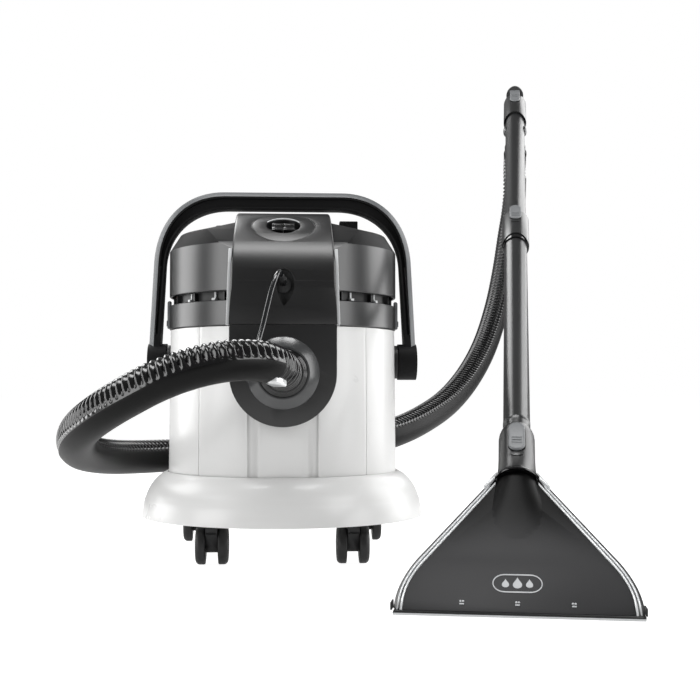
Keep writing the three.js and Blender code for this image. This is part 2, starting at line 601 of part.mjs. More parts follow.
for (const [place, [x, y]] of Object.entries(CASTERS)) {
  const caster = new THREE.Group();
  caster.position.set(x, y, 0);
  add(caster, "caster_fork_" + place, casterFork(), black);
  add(caster, "caster_wheel_" + place + "_l", casterWheel(-1), rubber);
  add(caster, "caster_wheel_" + place + "_r", casterWheel(1), rubber);
  machine.add(caster);
}

const wand = new THREE.Group();
wand.position.set(WAND.x, WAND.y, 0);
wand.rotation.z = rad(WAND.yaw);
add(wand, "floor_tool_body", toolBody(), black);
add(wand, "floor_tool_cover", toolCover(), smoked);
add(wand, "floor_tool_lip", toolLip(), midGrey);
add(wand, "spray_bar", sprayBar(), darkGrey);
add(wand, "tool_button", slideButton(18.6, 48, BUTTONS.tool, 24.3, 3.2), midGrey);
add(wand, "lower_tube", lowerTube(), darkGrey);
add(wand, "upper_tube", upperTube(), darkGrey);
add(wand, "tube_button", slideButton(17.6, 40, BUTTONS.middle - 6, 22.6, 2.2), midGrey);
add(wand, "grip", wandGrip(), darkGrey);
add(wand, "grip_button", slideButton(17.6, 60, BUTTONS.top, 22.6, 2.2), midGrey);
add(wand, "spray_lever", sprayLever(), midGrey);
add(wand, "hose_end", hoseEnd(), black);
machine.add(wand);

export default part;
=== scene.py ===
"""The looks of a spray-extraction carpet cleaner: a round tub machine on casters, its hoses and its wand.

Sizes are in millimetres about the machine's own axis. Each finished piece is brought into the model's frame.
"""

import math

import bmesh
import bpy
from mathutils import Matrix, Vector, geometry, kdtree


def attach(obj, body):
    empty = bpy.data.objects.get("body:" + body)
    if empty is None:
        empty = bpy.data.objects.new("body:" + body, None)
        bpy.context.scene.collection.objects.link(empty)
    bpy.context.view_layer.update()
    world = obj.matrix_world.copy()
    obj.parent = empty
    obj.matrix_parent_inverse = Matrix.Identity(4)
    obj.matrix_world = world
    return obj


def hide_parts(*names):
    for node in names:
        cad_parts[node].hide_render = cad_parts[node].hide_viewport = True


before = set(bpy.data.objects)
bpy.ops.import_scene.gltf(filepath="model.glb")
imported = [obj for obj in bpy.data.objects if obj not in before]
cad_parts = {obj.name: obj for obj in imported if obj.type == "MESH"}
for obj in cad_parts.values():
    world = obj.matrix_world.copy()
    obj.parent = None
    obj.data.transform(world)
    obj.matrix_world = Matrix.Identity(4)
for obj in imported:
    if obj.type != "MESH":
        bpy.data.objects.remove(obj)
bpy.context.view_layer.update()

bl_info = {
    "name": "Carpet cleaner",
    "version": (1, 0, 0),
    "blender": (4, 5, 0),
    "location": "3D View > Sidebar > Carpet cleaner",
    "description": "Builds the looks of a spray-extraction carpet cleaner around its packed model",
    "category": "Object",
}

# ---------- sizes, in millimetres ----------
CENTRE = Vector((151.4, 106.3, 0))  # the model's origin, from the machine's own axis
PIVOT_Z = 262.0  # the carry handle's pivot line
CROWN = 206.0  # the front cover's crown about that line
ARCH = (-8.0, 263.0, 195.0)  # the head's roof from the side: its arch's centre in (y, z), and its radius
REAR_CUT = 78.0  # where tub and head end and the water tank starts
COVER_FRONT = -172.0
PORT_Z = 243.6
POD_TILT = math.radians(31)
WAND_PLACE = Vector((229.7, -493, 0))
WAND_YAW = math.radians(-11.4)
WAND_LEAN = math.radians(37.5)
WAND_AXIS = 6.0  # the tubes' axis under the floor tool's top face
CASTERS = {
    "front_left": (-90, -138), "front_right": (90, -138), "rear_left": (-125, 100), "rear_right": (125, 100),
}
TRAIL = 14.0  # wheel axle behind the swivel
WHEEL = 25.0
GAP = 0.3  # clearance between neighbouring pieces
WALL = 3.0  # thickness of the moulded walls
TUB_FOOT, TUB_TOP = 72.3, 304.3
TUB_WIDE, TUB_NARROW = 157.2, 155.2  # the tub's radius at its foot and at its top
SPINE_HALF, CROWN_HALF = 68.0, 63.0  # half the front cover's width at its foot and at its crown
SPINE_FOOT, SPINE_TOP = 305.0, 468.0
LIP_TOP = 4.3  # the wand's pieces end level at this height over the floor
LIGHT_AIM = Vector((40, -60, 240))  # what every softbox points at
FLOOR_HALF = 40000.0  # half the floor's size
FLOOR_DROP = 0.5  # the floor lies this far under the wheels
FILM_WIDTH = 36.0

# The hoses' routes, from the machine outwards.
HOSE_ROUTE = [
    (0, -212.4, 243.6), (0, -226, 244.2), (-5, -257, 249), (-24, -289, 256), (-56, -312.5, 256.5),
    (-94, -324, 249.5), (-135, -321, 235.5), (-175, -304, 216), (-212, -272, 195.5), (-240, -226, 177),
    (-256, -170, 160), (-260, -111, 146), (-252, -52, 137), (-234, 6, 131), (-205, 62, 128), (-164, 112, 127),
    (-112, 152, 126.5), (-54, 179, 127), (6, 192, 129.5), (62, 201, 134), (112, 219, 141), (157.5, 248, 149),
    (195, 285, 159), (236, 334, 175), (287, 405, 203), (338, 490, 248), (385, 580, 310), (422, 655, 388),
    (447, 707, 466), (465, 745, 540), (477, 767, 590), (482.5, 775, 630), (482.5, 770, 660),
    (479.8, 753, 687), (476.8, 732, 706), (475.4, 725.2, 710.1),
]
SPRAY_ROUTE = [
    (-3.1, -179, 366.2), (-3.9, -186, 369), (-8, -201, 363), (-14, -215, 345), (-19, -228, 323),
    (-24, -242, 300), (-28, -254, 284), (-31, -264, 272), (-33, -269, 264),
]


# ---------- shapes ----------
def new(points=()):
    bm = bmesh.new()
    verts = [bm.verts.new(p) for p in points]
    for a, b in zip(verts, verts[1:]):
        bm.edges.new((a, b))
    return bm


def tidy(bm):
    bmesh.ops.remove_doubles(bm, verts=bm.verts, dist=0.002)
    bmesh.ops.dissolve_degenerate(bm, edges=bm.edges, dist=0.001)
    bmesh.ops.recalc_face_normals(bm, faces=bm.faces)
    return bm


def turned(outline, steps=120):
    """A solid turned about Z from (radius, height) points, closed on the axis or on itself."""
    points = [(r, 0, z) for r, z in outline]
    if outline[0][0] > 0:
        points.append(points[0])
    bm = new(points)
    bmesh.ops.spin(bm, geom=bm.verts[:] + bm.edges[:], cent=(0, 0, 0), axis=(0, 0, 1), angle=math.tau,
                   steps=steps, use_merge=True)
    return tidy(bm)


def hoop(inner, outer, low, high, steps=120):
    """A square-edged ring about Z."""
    return turned([(inner, low), (outer, low), (outer, high), (inner, high)], steps)


AXES = {"x": Matrix(((0, 0, 1), (1, 0, 0), (0, 1, 0))), "y": Matrix(((1, 0, 0), (0, 0, 1), (0, 1, 0))),
        "z": Matrix.Identity(3)}


def pushed(outline, axis, low, high):
    """A flat outline pushed along an axis: "x" draws it in (y, z), "y" in (x, z) and "z" in (x, y)."""
    turn = AXES[axis]
    bm = bmesh.new()
    face = bm.faces.new([bm.verts.new(turn @ Vector((a, b, low))) for a, b in outline])
    out = bmesh.ops.extrude_face_region(bm, geom=[face])
    tops = [v for v in out["geom"] if isinstance(v, bmesh.types.BMVert)]
    bmesh.ops.translate(bm, verts=tops, vec=turn @ Vector((0, 0, high - low)))
    return tidy(bm)


def block(low, high):
    bm = bmesh.new()
    bmesh.ops.create_cube(bm, size=1)
    low, high = Vector(low), Vector(high)
    bmesh.ops.scale(bm, verts=bm.verts, vec=high - low)
    bmesh.ops.translate(bm, verts=bm.verts, vec=(low + high) / 2)
    return bm


def rod(radius, start, end, steps=48, tip=None):
    start, end = Vector(start), Vector(end)
    line = end - start
    bm = bmesh.new()
    bmesh.ops.create_cone(bm, cap_ends=True, segments=steps, radius1=radius, radius2=radius if tip is None
                          else tip, depth=line.length)
    place = Matrix.Translation((start + end) / 2) @ line.to_track_quat("Z", "Y").to_matrix().to_4x4()
    bmesh.ops.transform(bm, matrix=place, verts=bm.verts)
    return bm


def between(bm, start, end):
    """Moves a shape drawn along Z from the origin to lie from start towards end."""
    line = Vector(end) - Vector(start)
    place = Matrix.Translation(start) @ line.to_track_quat("Z", "Y").to_matrix().to_4x4()
    bmesh.ops.transform(bm, matrix=place, verts=bm.verts)
    return bm


def rounded(bm, radius, chosen, segments=6):
    """Rounds the edges of which chosen(middle, direction) is true, where two faces meet at an angle."""
    edges = [e for e in bm.edges if len(e.link_faces) == 2 and e.calc_face_angle(0) > 0.5
             and chosen((e.verts[0].co + e.verts[1].co) / 2, (e.verts[1].co - e.verts[0].co).normalized())]
    bmesh.ops.bevel(bm, geom=edges, offset=radius, offset_type="OFFSET", segments=segments, profile=0.5,
                    affect="EDGES", material=-1, clamp_overlap=True)
    return tidy(bm)


def ball(radius, centre, squash=(1, 1, 1)):
    bm = bmesh.new()
    bmesh.ops.create_uvsphere(bm, u_segments=32, v_segments=16, radius=radius)
    bmesh.ops.scale(bm, verts=bm.verts, vec=squash)
    bmesh.ops.translate(bm, verts=bm.verts, vec=centre)
    return bm


def moved(bm, place=(0, 0, 0), turn=0.0, axis="X", about=(0, 0, 0)):
    about = Vector(about)
    spin = Matrix.Translation(about) @ Matrix.Rotation(turn, 4, axis) @ Matrix.Translation(-about)
    bmesh.ops.transform(bm, matrix=Matrix.Translation(place) @ spin, verts=bm.verts)
    return bm


def round_points(shape, steps=12):
    """Points of an outline whose items are points, or (control, control, end) and (control, end) curves."""
    points = []
    for item in shape:
        if isinstance(item[0], (int, float)):
            points.append(Vector(item))
            continue
        start, ends = points[-1], [Vector(p) for p in item]
        for k in range(1, steps + 1):
            t = k / steps
            line = [start] + ends
            while len(line) > 1:
                line = [a.lerp(b, t) for a, b in zip(line, line[1:])]
            points.append(line[0])
    return points


def arc(centre, radius, start, end, steps=24):
    return [(centre[0] + radius * math.cos(start + (end - start) * k / steps),
             centre[1] + radius * math.sin(start + (end - start) * k / steps)) for k in range(steps + 1)]


def pill(width, length, middle, x=0.0, steps=14):
    r = width / 2
    top = arc((x, middle + length / 2 - r), r, 0, math.pi, steps)
    return top + arc((x, middle - length / 2 + r), r, math.pi, math.tau, steps)


def inset(outline, by):
    """A closed outline moved inwards (its points run counter-clockwise), or outwards if by is negative."""
    points = [Vector(p) for p in outline]
    result = []
    for i, p in enumerate(points):
        before, after = (p - points[i - 1]).normalized(), (points[(i + 1) % len(points)] - p).normalized()
        normal = Vector((-(before + after).y, (before + after).x)).normalized()
        lean = max(0.35, normal.dot(Vector((-before.y, before.x))))
        result.append(p + normal * by / lean)
    return result


def object_of(bm, name="part"):
    mesh = bpy.data.meshes.new(name)
    bm.to_mesh(mesh)
    bm.free()
    obj = bpy.data.objects.new(name, mesh)
    bpy.context.scene.collection.objects.link(obj)
    return obj


def final_mesh(obj):
    return bpy.data.meshes.new_from_object(obj.evaluated_get(bpy.context.evaluated_depsgraph_get()))


def solid(base, *tools, how="DIFFERENCE"):
    """base with each tool cut from it, joined to it or kept in common with it."""
    target, others = object_of(base), [object_of(t) for t in tools]
    for other in others:
        step = target.modifiers.new("step", "BOOLEAN")
        step.operation, step.solver, step.object = how, "EXACT", other
    mesh = final_mesh(target)
    bm = bmesh.new()
    bm.from_mesh(mesh)
    for obj in [target] + others:
        used = obj.data
        bpy.data.objects.remove(obj)
        bpy.data.meshes.remove(used)
    bpy.data.meshes.remove(mesh)
    bmesh.ops.remove_doubles(bm, verts=bm.verts, dist=0.001)
    return bm


def cut(base, *tools):
    return solid(base, *tools)


def join(base, *tools):
    return solid(base, *tools, how="UNION")


def common(base, *tools):
    return solid(base, *tools, how="INTERSECT")


def bundle(*parts):
    """Several closed shapes in one mesh, where they don't have to be one solid."""
    whole = bmesh.new()
    for bm in parts:
        mesh = bpy.data.meshes.new("part")
        bm.to_mesh(mesh)
        bm.free()
        whole.from_mesh(mesh)
        bpy.data.meshes.remove(mesh)
    return whole


def under_arch(grow=0.0):
    """Everything under the roof's arch, grown by a gap."""
    y, z, radius = ARCH
    top = arc((y, z), radius + grow, 0, math.pi, 96)
    return pushed([(y + radius + grow, 0)] + top + [(y - radius - grow, 0)], "x", -250, 250)


def on_pod(bm):
    """Places a shape that is drawn about the switch pod's own axis."""
    return moved(bm, (0, -CROWN * math.sin(POD_TILT), PIVOT_Z + CROWN * math.cos(POD_TILT)), POD_TILT)


def pod_well(grow=0.0):
    """The well in the roof that the switch pod sits in."""
    return on_pod(rod(43 + grow, (0, 0, -14.6 - grow), (0, 0, 30), 96))


def hull(grow=0.0):
    """The outer shape of tub, head and water tank together, grown by a gap."""
    whole = turned([
        (0, TUB_FOOT - grow), (TUB_WIDE + grow, TUB_FOOT - grow), (TUB_NARROW + grow, TUB_TOP),
        (157 + grow, 305), (157 + grow, 412),
        (143 + grow, 434 + grow), (71, 453 + grow), (0, 458 + grow),
    ], 160)
    return cut(common(whole, under_arch(grow)), pod_well(-grow))


MACHINE_FRAME = Matrix.Scale(0.001, 4) @ Matrix.Translation(-CENTRE)
WAND_FRAME = MACHINE_FRAME @ Matrix.Translation(WAND_PLACE) @ Matrix.Rotation(WAND_YAW, 4, "Z")
LEAN_TURN = WAND_LEAN - math.pi / 2  # lays a shape drawn upright along the leaning wand
LEANED = WAND_FRAME @ Matrix.Rotation(LEAN_TURN, 4, "X")


def piece(name, bm, material, body, swaps=(), place=MACHINE_FRAME, edge=0.6, segments=3, sharp=32):
    """Finishes a shape as a named piece: its rounded edges, place, material and body, and hides the model's
    parts it replaces.
    """
    obj = object_of(bm, name)
    if edge:
        rounding = obj.modifiers.new("edges", "BEVEL")
        rounding.width, rounding.segments = edge, segments
        rounding.limit_method, rounding.angle_limit = "ANGLE", math.radians(sharp)
        rounding.harden_normals = False
        mesh = final_mesh(obj)
        old = obj.data
        obj.modifiers.clear()
        obj.data = mesh
        bpy.data.meshes.remove(old)
        mesh.name = name
    obj.data.transform(place)
    obj.data.polygons.foreach_set("use_smooth", [True] * len(obj.data.polygons))
    obj.data.set_sharp_from_angle(angle=math.radians(sharp))
    obj.data.materials.clear()
    obj.data.materials.append(material)
    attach(obj, body)
    if swaps:
        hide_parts(*swaps)
    return obj


def refinish(obj, material, chosen):
    """Gives a second finish to the faces whose middle, in millimetres about the machine, is chosen."""
    obj.data.materials.append(material)
    back = MACHINE_FRAME.inverted()
    for face in obj.data.polygons:
        if chosen(back @ face.center):
            face.material_index = 1


# ---------- materials ----------
def linear(code):
    """An sRGB hex colour as linear red, green, blue and alpha."""
    parts = [int(code[i:i + 2], 16) / 255 for i in (0, 2, 4)]
    return [p / 12.92 if p <= 0.04045 else ((p + 0.055) / 1.055) ** 2.4 for p in parts] + [1.0]


def add(tree, kind, links=(), **settings):
    """Adds a node, sets its properties and sockets, and links (socket, from node, its output) into it."""
    node = tree.nodes.new(kind)
    for key, value in settings.items():
        if hasattr(node, key):
            setattr(node, key, value)
        else:
            node.inputs[key.replace("_", " ")].default_value = value
    for socket, source, output in links:
        tree.links.new(source.outputs[output], node.inputs[socket])
    return node


def start(name):
    material = bpy.data.materials.get(name)
    if material:
        return material, None, None
    material = bpy.data.materials.new(name)
    material.use_nodes = True
    tree = material.node_tree
    tree.nodes.clear()
    shader = tree.nodes.new("ShaderNodeBsdfPrincipled")
    output = tree.nodes.new("ShaderNodeOutputMaterial")
    tree.links.new(shader.outputs[0], output.inputs[0])
    return material, tree, shader


def number(name, description, default, **more):
    """A setting of one number, in millimetres unless it says otherwise."""
    return bpy.props.FloatProperty(name=name, description=description, default=default, **more)


def tint(name, code, description):
    """A colour setting whose default is an sRGB hex code."""
    return bpy.props.FloatVectorProperty(
        name=name, description=description, size=4, min=0, max=1, subtype="COLOR", default=linear(code))


class FinishSettings(bpy.types.PropertyGroup):
    white: tint("White", "e2e2e1", "Chassis and tub")
    tank: tint("Tank", "b9bec1", "Milky water tank")
    cover: tint("Cover", "080809", "Grained front cover")
    band: tint("Band", "191a1b", "Satin head and tubes")
    gloss: tint("Gloss", "0c0c0d", "Glossy caps, cuffs and buttons")
    nylon: tint("Nylon", "0e0f10", "Caster forks, vanes and pivots")
    dull: tint("Dull black", "070708", "Roof of the head and the handle's channel")
    # Painted highlight: the black handle's outer flange is painted lighter, for the light on its rounded
    # edge.
    flange: tint("Flange", "66686a", "Outer flange of the carry handle")
    trim: tint("Trim", "d3d5d6", "Light trims and the floor tool's lip")
    grey: tint("Grey", "77797b", "Levers and release buttons")
    ring: tint("Ring", "3a3b3c", "Cone of the hose port")
    hose: tint("Hose", "070708", "Ribbed suction hose")
    sleeve: tint("Sleeve", "040404", "Smooth sleeve along the suction hose")
    line: tint("Line", "17181a", "Thin spray hose")
    rubber: tint("Rubber", "121212", "Tyres and grip sleeve")
    inner: tint("Inner", "2c2d2f", "Mouldings inside the head")
    foam: tint("Foam", "4c4c4a", "Foam filter")
    steel: tint("Steel", "b4b6b9", "Motor can and fan")
    # Painted highlight: near white stands in for the light on the clear edges.
    clear: tint("Clear", "f1f3f4", "Clear edges of the floor tool")
    smoke: tint("Smoke", "39393a", "Smoked cover of the floor tool")
    print: tint("Print", "b9bbbd", "Pad print")


DRIFT_MM = 110.0  # how far apart the faint changes of tone and gloss are
SCUFF_MM = 17.0  # how far apart the duller scuffs are
# Painted shade on the floor tool's smoked cover: pale in the middle and near black towards the neck, for the
# shade in the deep duct behind it.
DUCT_SHADE_PLACE = Vector((0, 0, 45))  # middle of the smoked cover's pale area, in mm along the wand
DUCT_SHADE_SIZE = Vector((0.3, 0.2, 0.125))  # that area's half sizes, in metres
DUCT_SHADE_BLACK = "030303"  # the smoked cover over the deep duct


def moulded(name, colour, rough, grain_mm, depth_mm, ior=1.5, coat=0.0, spread=0.06, scuffs=0.0, fade=0.85):
    """A moulded plastic: its colour with a faint drift of tone, fine grain and slightly uneven gloss."""
    material, tree, shader = start(name)
    if tree is None:
        return material
    base = getattr(bpy.context.scene.cleaner_finish, colour)
    where = add(tree, "ShaderNodeTexCoord")
    drift = add(tree, "ShaderNodeTexNoise", [("Vector", where, "Object")], Scale=1000 / DRIFT_MM, Detail=2.0)
    grain = add(tree, "ShaderNodeTexNoise", [("Vector", where, "Object")], Scale=1000 / grain_mm, Detail=3.0,
                Roughness=0.6)
    tone = add(tree, "ShaderNodeMix", [("Factor", drift, "Fac")], data_type="RGBA", A=base,
               B=[c * fade for c in base[:3]] + [1.0])
    tree.links.new(tone.outputs["Result"], shader.inputs["Base Color"])
    gloss = add(tree, "ShaderNodeMapRange", [("Value", drift, "Fac")], To_Min=rough - spread,
                To_Max=rough + spread)
    if scuffs:
        streaks = add(tree, "ShaderNodeTexNoise", [("Vector", where, "Object")], Scale=1000 / SCUFF_MM,
                      Detail=6.0, Roughness=0.75)
        marks = add(tree, "ShaderNodeMapRange", [("Value", streaks, "Fac")], From_Min=0.55, From_Max=0.7,
                    To_Max=scuffs)
        gloss = add(tree, "ShaderNodeMath", [(0, gloss, "Result"), (1, marks, "Result")], operation="ADD")
    tree.links.new(gloss.outputs[0], shader.inputs["Roughness"])
    bump = add(tree, "ShaderNodeBump", [("Height", grain, "Fac")], Strength=1.0, Distance=depth_mm / 1000)
    tree.links.new(bump.outputs["Normal"], shader.inputs["Normal"])
    shader.inputs["IOR"].default_value = ior
    shader.inputs["Coat Weight"].default_value = coat
    shader.inputs["Coat Roughness"].default_value = 0.12
    return material


def white_shell():
    # Polished ABS moulding: bright, faintly warm white with a soft gloss and almost no grain.
    return moulded("white_abs_polished", "white", 0.3, 1.2, 0.004, ior=1.52, coat=0.1, scuffs=0.08, fade=0.95)


def tank_shell():
    # Natural polypropylene: milky grey, waxy and a little translucent.
    material = moulded("grey_polypropylene", "tank", 0.34, 1.5, 0.006, ior=1.49, fade=0.9)
    shader = next(n for n in material.node_tree.nodes if n.type == "BSDF_PRINCIPLED")
    shader.inputs["Subsurface Weight"].default_value = 0.15
    shader.inputs["Subsurface Scale"].default_value = 0.004
    return material


def black_cover():
    # Spark-eroded ABS: near-black with a fine leathery grain that breaks the highlights up.
    return moulded("black_abs_grained", "cover", 0.34, 0.9, 0.03, ior=1.7, spread=0.05)


def grey_band():
    # Satin ABS: charcoal with broad soft highlights down its curved sides.
    return moulded("charcoal_abs_satin", "band", 0.3, 0.8, 0.008, ior=1.7, spread=0.03)


def black_gloss():
    # Glossy ABS, as on lids and rims: deep black with tight highlights.
    return moulded("black_abs_gloss", "gloss", 0.14, 1.5, 0.003, ior=1.52, coat=0.2)


def black_matt():
    # Glass-filled nylon: dull black on pieces that carry load.
    return moulded("black_nylon", "nylon", 0.46, 0.7, 0.03, spread=0.08)


def dull_black():
    # Finely eroded ABS: a flat black that stays black where light grazes it.
    return moulded("black_abs_eroded", "dull", 0.6, 0.7, 0.02, ior=1.3)


def painted_flange_highlight():
    # Satin black ABS of the handle's outer flange, painted mid charcoal as a painted highlight for the light
    # its rounded edge catches, which keeps its channel looking deep.
    return moulded("slate_abs_satin", "flange", 0.36, 0.8, 0.015)


def light_trim():
    # Smooth light grey ABS of the trims.
    return moulded("light_grey_abs", "trim", 0.28, 1.5, 0.004, fade=0.93)


def mid_grey():
    # Mid grey ABS of levers and release buttons.
    return moulded("mid_grey_abs", "grey", 0.38, 0.8, 0.015)


def ring_grey():
    # Satin grey ABS of the port's cone.
    return moulded("satin_grey_abs", "ring", 0.24, 1.0, 0.01, ior=1.8)


def hose_skin():
    # Soft PVC: black and wet-looking, with clear highlights on each rib.
    return moulded("black_pvc_gloss", "hose", 0.17, 2.5, 0.01, ior=1.53, coat=0.3)


def sleeve_skin():
    # Soft PVC sleeve: black with a dull satin sheen.
    return moulded("black_pvc_satin", "sleeve", 0.42, 1.6, 0.02, ior=1.28)


def line_skin():
    # Polyurethane tubing: smooth, black and glossy.
    return moulded("black_polyurethane", "line", 0.12, 3.0, 0.002, coat=0.4)


def tyre_rubber():
    # Thermoplastic rubber tread: dull with a trace of dust.
    return moulded("black_tpe_rubber", "rubber", 0.5, 0.6, 0.02, spread=0.1, fade=1.2)


def inner_plastic():
    # Plain polypropylene of inner mouldings.
    return moulded("dark_polypropylene", "inner", 0.45, 1.0, 0.02)


def foam():
    # Open-cell polyurethane foam: dark, dull and pitted.
    return moulded("grey_foam", "foam", 0.95, 1.4, 0.4, spread=0.03, fade=0.6)


def sheet_metal():
    # Drawn steel of the motor's can: brushed round its axis in fine lines.
    material, tree, shader = start("drawn_steel")
    if tree is None:
        return material
    length_mm, width_mm = 50, 0.4
    where = add(tree, "ShaderNodeTexCoord")
    stretch = add(tree, "ShaderNodeMapping", [("Vector", where, "Object")],
                  Scale=(1000 / length_mm, 1000 / length_mm, 1000 / width_mm))
    lines = add(tree, "ShaderNodeTexNoise", [("Vector", stretch, "Vector")], Scale=1.0, Detail=4.0)
    gloss = add(tree, "ShaderNodeMapRange", [("Value", lines, "Fac")], To_Min=0.22, To_Max=0.42)
    tree.links.new(gloss.outputs["Result"], shader.inputs["Roughness"])
    bump = add(tree, "ShaderNodeBump", [("Height", lines, "Fac")], Strength=0.3, Distance=0.00005)
    tree.links.new(bump.outputs["Normal"], shader.inputs["Normal"])
    shader.inputs["Base Color"].default_value = bpy.context.scene.cleaner_finish.steel
    shader.inputs["Metallic"].default_value = 1.0
    return material


def clear_with_painted_highlight():
    # Polished clear polycarbonate with a faint smoke tint; its near-white colour is a painted highlight for
    # its bright edges.
    material, tree, shader = start("clear_polycarbonate")
    if tree is None:
        return material
    haze_mm = 8
    where = add(tree, "ShaderNodeTexCoord")
    haze = add(tree, "ShaderNodeTexNoise", [("Vector", where, "Object")], Scale=1000 / haze_mm, Detail=2.0)
    gloss = add(tree, "ShaderNodeMapRange", [("Value", haze, "Fac")], To_Min=0.05, To_Max=0.12)
    tree.links.new(gloss.outputs["Result"], shader.inputs["Roughness"])
    shader.inputs["Base Color"].default_value = bpy.context.scene.cleaner_finish.clear
    shader.inputs["IOR"].default_value = 1.58
    shader.inputs["Transmission Weight"].default_value = 0.3
    return material


def smoked_cover():
    # Smoked polycarbonate, finely matted: soft dark grey, with painted shade that goes to black where the
    # duct behind it is deep.
    material = moulded("smoked_polycarbonate", "smoke", 0.4, 2.5, 0.003, ior=1.22)
    tree = material.node_tree
    shader = next(n for n in tree.nodes if n.type == "BSDF_PRINCIPLED")
    if any(n.type == "TEX_GRADIENT" for n in tree.nodes):
        return material
    # Painted shade: a round fall-off mixes the cover's colour towards black away from its pale middle.
    where = add(tree, "ShaderNodeTexCoord")
    spot = add(tree, "ShaderNodeMapping", [("Vector", where, "Object")], vector_type="TEXTURE",
               Location=LEANED @ DUCT_SHADE_PLACE, Rotation=LEANED.to_euler(), Scale=DUCT_SHADE_SIZE)
    duct_shade_fall = add(tree, "ShaderNodeTexGradient", [("Vector", spot, "Vector")], gradient_type="SPHERICAL")
    depth = add(tree, "ShaderNodeMapRange", [("Value", duct_shade_fall, "Fac")], interpolation_type="SMOOTHSTEP",
                From_Min=0.08, From_Max=0.7)
    tone = add(tree, "ShaderNodeMix", [("Factor", depth, "Result")], data_type="RGBA", A=linear(DUCT_SHADE_BLACK))
    tree.links.new(shader.inputs["Base Color"].links[0].from_socket, tone.inputs["B"])
    tree.links.new(tone.outputs["Result"], shader.inputs["Base Color"])
    return material


def badge_print():
    # Silver-grey pad print.
    return moulded("silver_print", "print", 0.4, 1.0, 0.003)


# ---------- the stage ----------
class StageSettings(bpy.types.PropertyGroup):
    lens: number("Lens", "Focal length of the camera", 59.9, unit="CAMERA")
    eye: bpy.props.FloatVectorProperty(
        name="Eye", description="The camera's place, in mm about the machine's axis", size=3,
        default=(0, -1630, 220))
    pan: number("Pan", "How far the camera looks to the right", math.radians(3.29), subtype="ANGLE")
    pitch: number("Pitch", "How far the camera looks up", math.radians(2.07), subtype="ANGLE")
    fill: number("Fill", "Strength of the even light from all round", 0.16)
    floor_colour: bpy.props.FloatVectorProperty(
        name="Floor", description="Colour of the floor", size=4, subtype="COLOR", default=linear("b4b4b4"))
    floor_glow: number("Floor glow", "How bright the lit floor shows by itself", 0.93)
    floor_bounce: number("Floor bounce", "Light that the floor gives to the object", 0.4)


class CLEANER_OT_stage(bpy.types.Operator):
    """Builds the pale floor, the soft studio lights and the camera"""
    bl_idname = "cleaner.stage"
    bl_label = "Stage"

    def execute(self, context):
        look = context.scene.cleaner_stage
        bm = bmesh.new()
        bmesh.ops.create_grid(bm, x_segments=1, y_segments=1, size=FLOOR_HALF)
        floor = object_of(bm, "floor")
        floor.data.transform(MACHINE_FRAME @ Matrix.Translation((0, 0, -FLOOR_DROP)))
        material, tree, shader = start("floor_paint")
        if tree:
            shader.inputs["Base Color"].default_value = look.floor_colour
            shader.inputs["Roughness"].default_value = 0.9
            shader.inputs["Emission Color"].default_value = (1, 1, 1, 1)
            seen = add(tree, "ShaderNodeLightPath")
            glow = add(tree, "ShaderNodeMapRange", [("Value", seen, "Is Camera Ray")],
                       To_Min=look.floor_bounce, To_Max=look.floor_glow)
            tree.links.new(glow.outputs["Result"], shader.inputs["Emission Strength"])
        floor.data.materials.append(material)
        world = bpy.data.worlds.new("studio")
        world.use_nodes = True
        tree = world.node_tree
        seen = add(tree, "ShaderNodeLightPath")
        strength = add(tree, "ShaderNodeMapRange", [("Value", seen, "Is Camera Ray")], To_Min=look.fill,
                       To_Max=1.0)
        backdrop = tree.nodes["Background"]
        backdrop.inputs["Color"].default_value = (1, 1, 1, 1)
        tree.links.new(strength.outputs["Result"], backdrop.inputs["Strength"])
        context.scene.world = world
        # Each softbox: its bearing from the front, distance, height, width, tallness and power.
        lights = {
            "key_left": (-56, 1700, 650, 900, 1500, 16), "key_right": (54, 1700, 650, 900, 1500, 14),
            "rim_left": (-108, 1600, 780, 900, 1700, 18), "rim_right": (106, 1600, 780, 900, 1700, 16.5),
            "top": (4, 260, 2100, 1300, 520, 17), "back_left": (-153, 1460, 1850, 800, 1100, 17),
            "back_right": (140, 2180, 1400, 700, 1200, 8),
        }
        for name, (bearing, away, height, width, tall, power) in lights.items():
            data = bpy.data.lights.new(name, "AREA")
            data.shape, data.size, data.size_y, data.energy = "RECTANGLE", width / 1000, tall / 1000, power
            lamp = bpy.data.objects.new(name, data)
            turn = math.radians(bearing)
            eye = Vector((away * math.sin(turn), -away * math.cos(turn), height))
            lamp.location = MACHINE_FRAME @ eye
            lamp.rotation_euler = (LIGHT_AIM - eye).to_track_quat("-Z", "Y").to_euler()
            context.scene.collection.objects.link(lamp)
        data = bpy.data.cameras.new("camera")
        data.lens, data.sensor_width = look.lens, FILM_WIDTH
        camera = bpy.data.objects.new("camera", data)
        camera.location = MACHINE_FRAME @ Vector(look.eye)
        camera.rotation_euler = (math.pi / 2 + look.pitch, 0, -look.pan)
        context.scene.collection.objects.link(camera)
        context.scene.camera = camera
        context.scene.view_settings.view_transform = "Standard"
        return {"FINISHED"}


# ---------- chassis, tub and water tank ----------
class TubSettings(bpy.types.PropertyGroup):
    groove: number("Groove width", "Width of the tub's fine grooves", 1.1)
    groove_angle: number("Groove angle", "Where the grooves are, from the front", math.radians(44),
                         subtype="ANGLE")
    flute_inner: number("Flute start", "Inner edge of each flute", 31.5)
    flute_outer: number("Flute end", "Outer edge of each flute", 45)


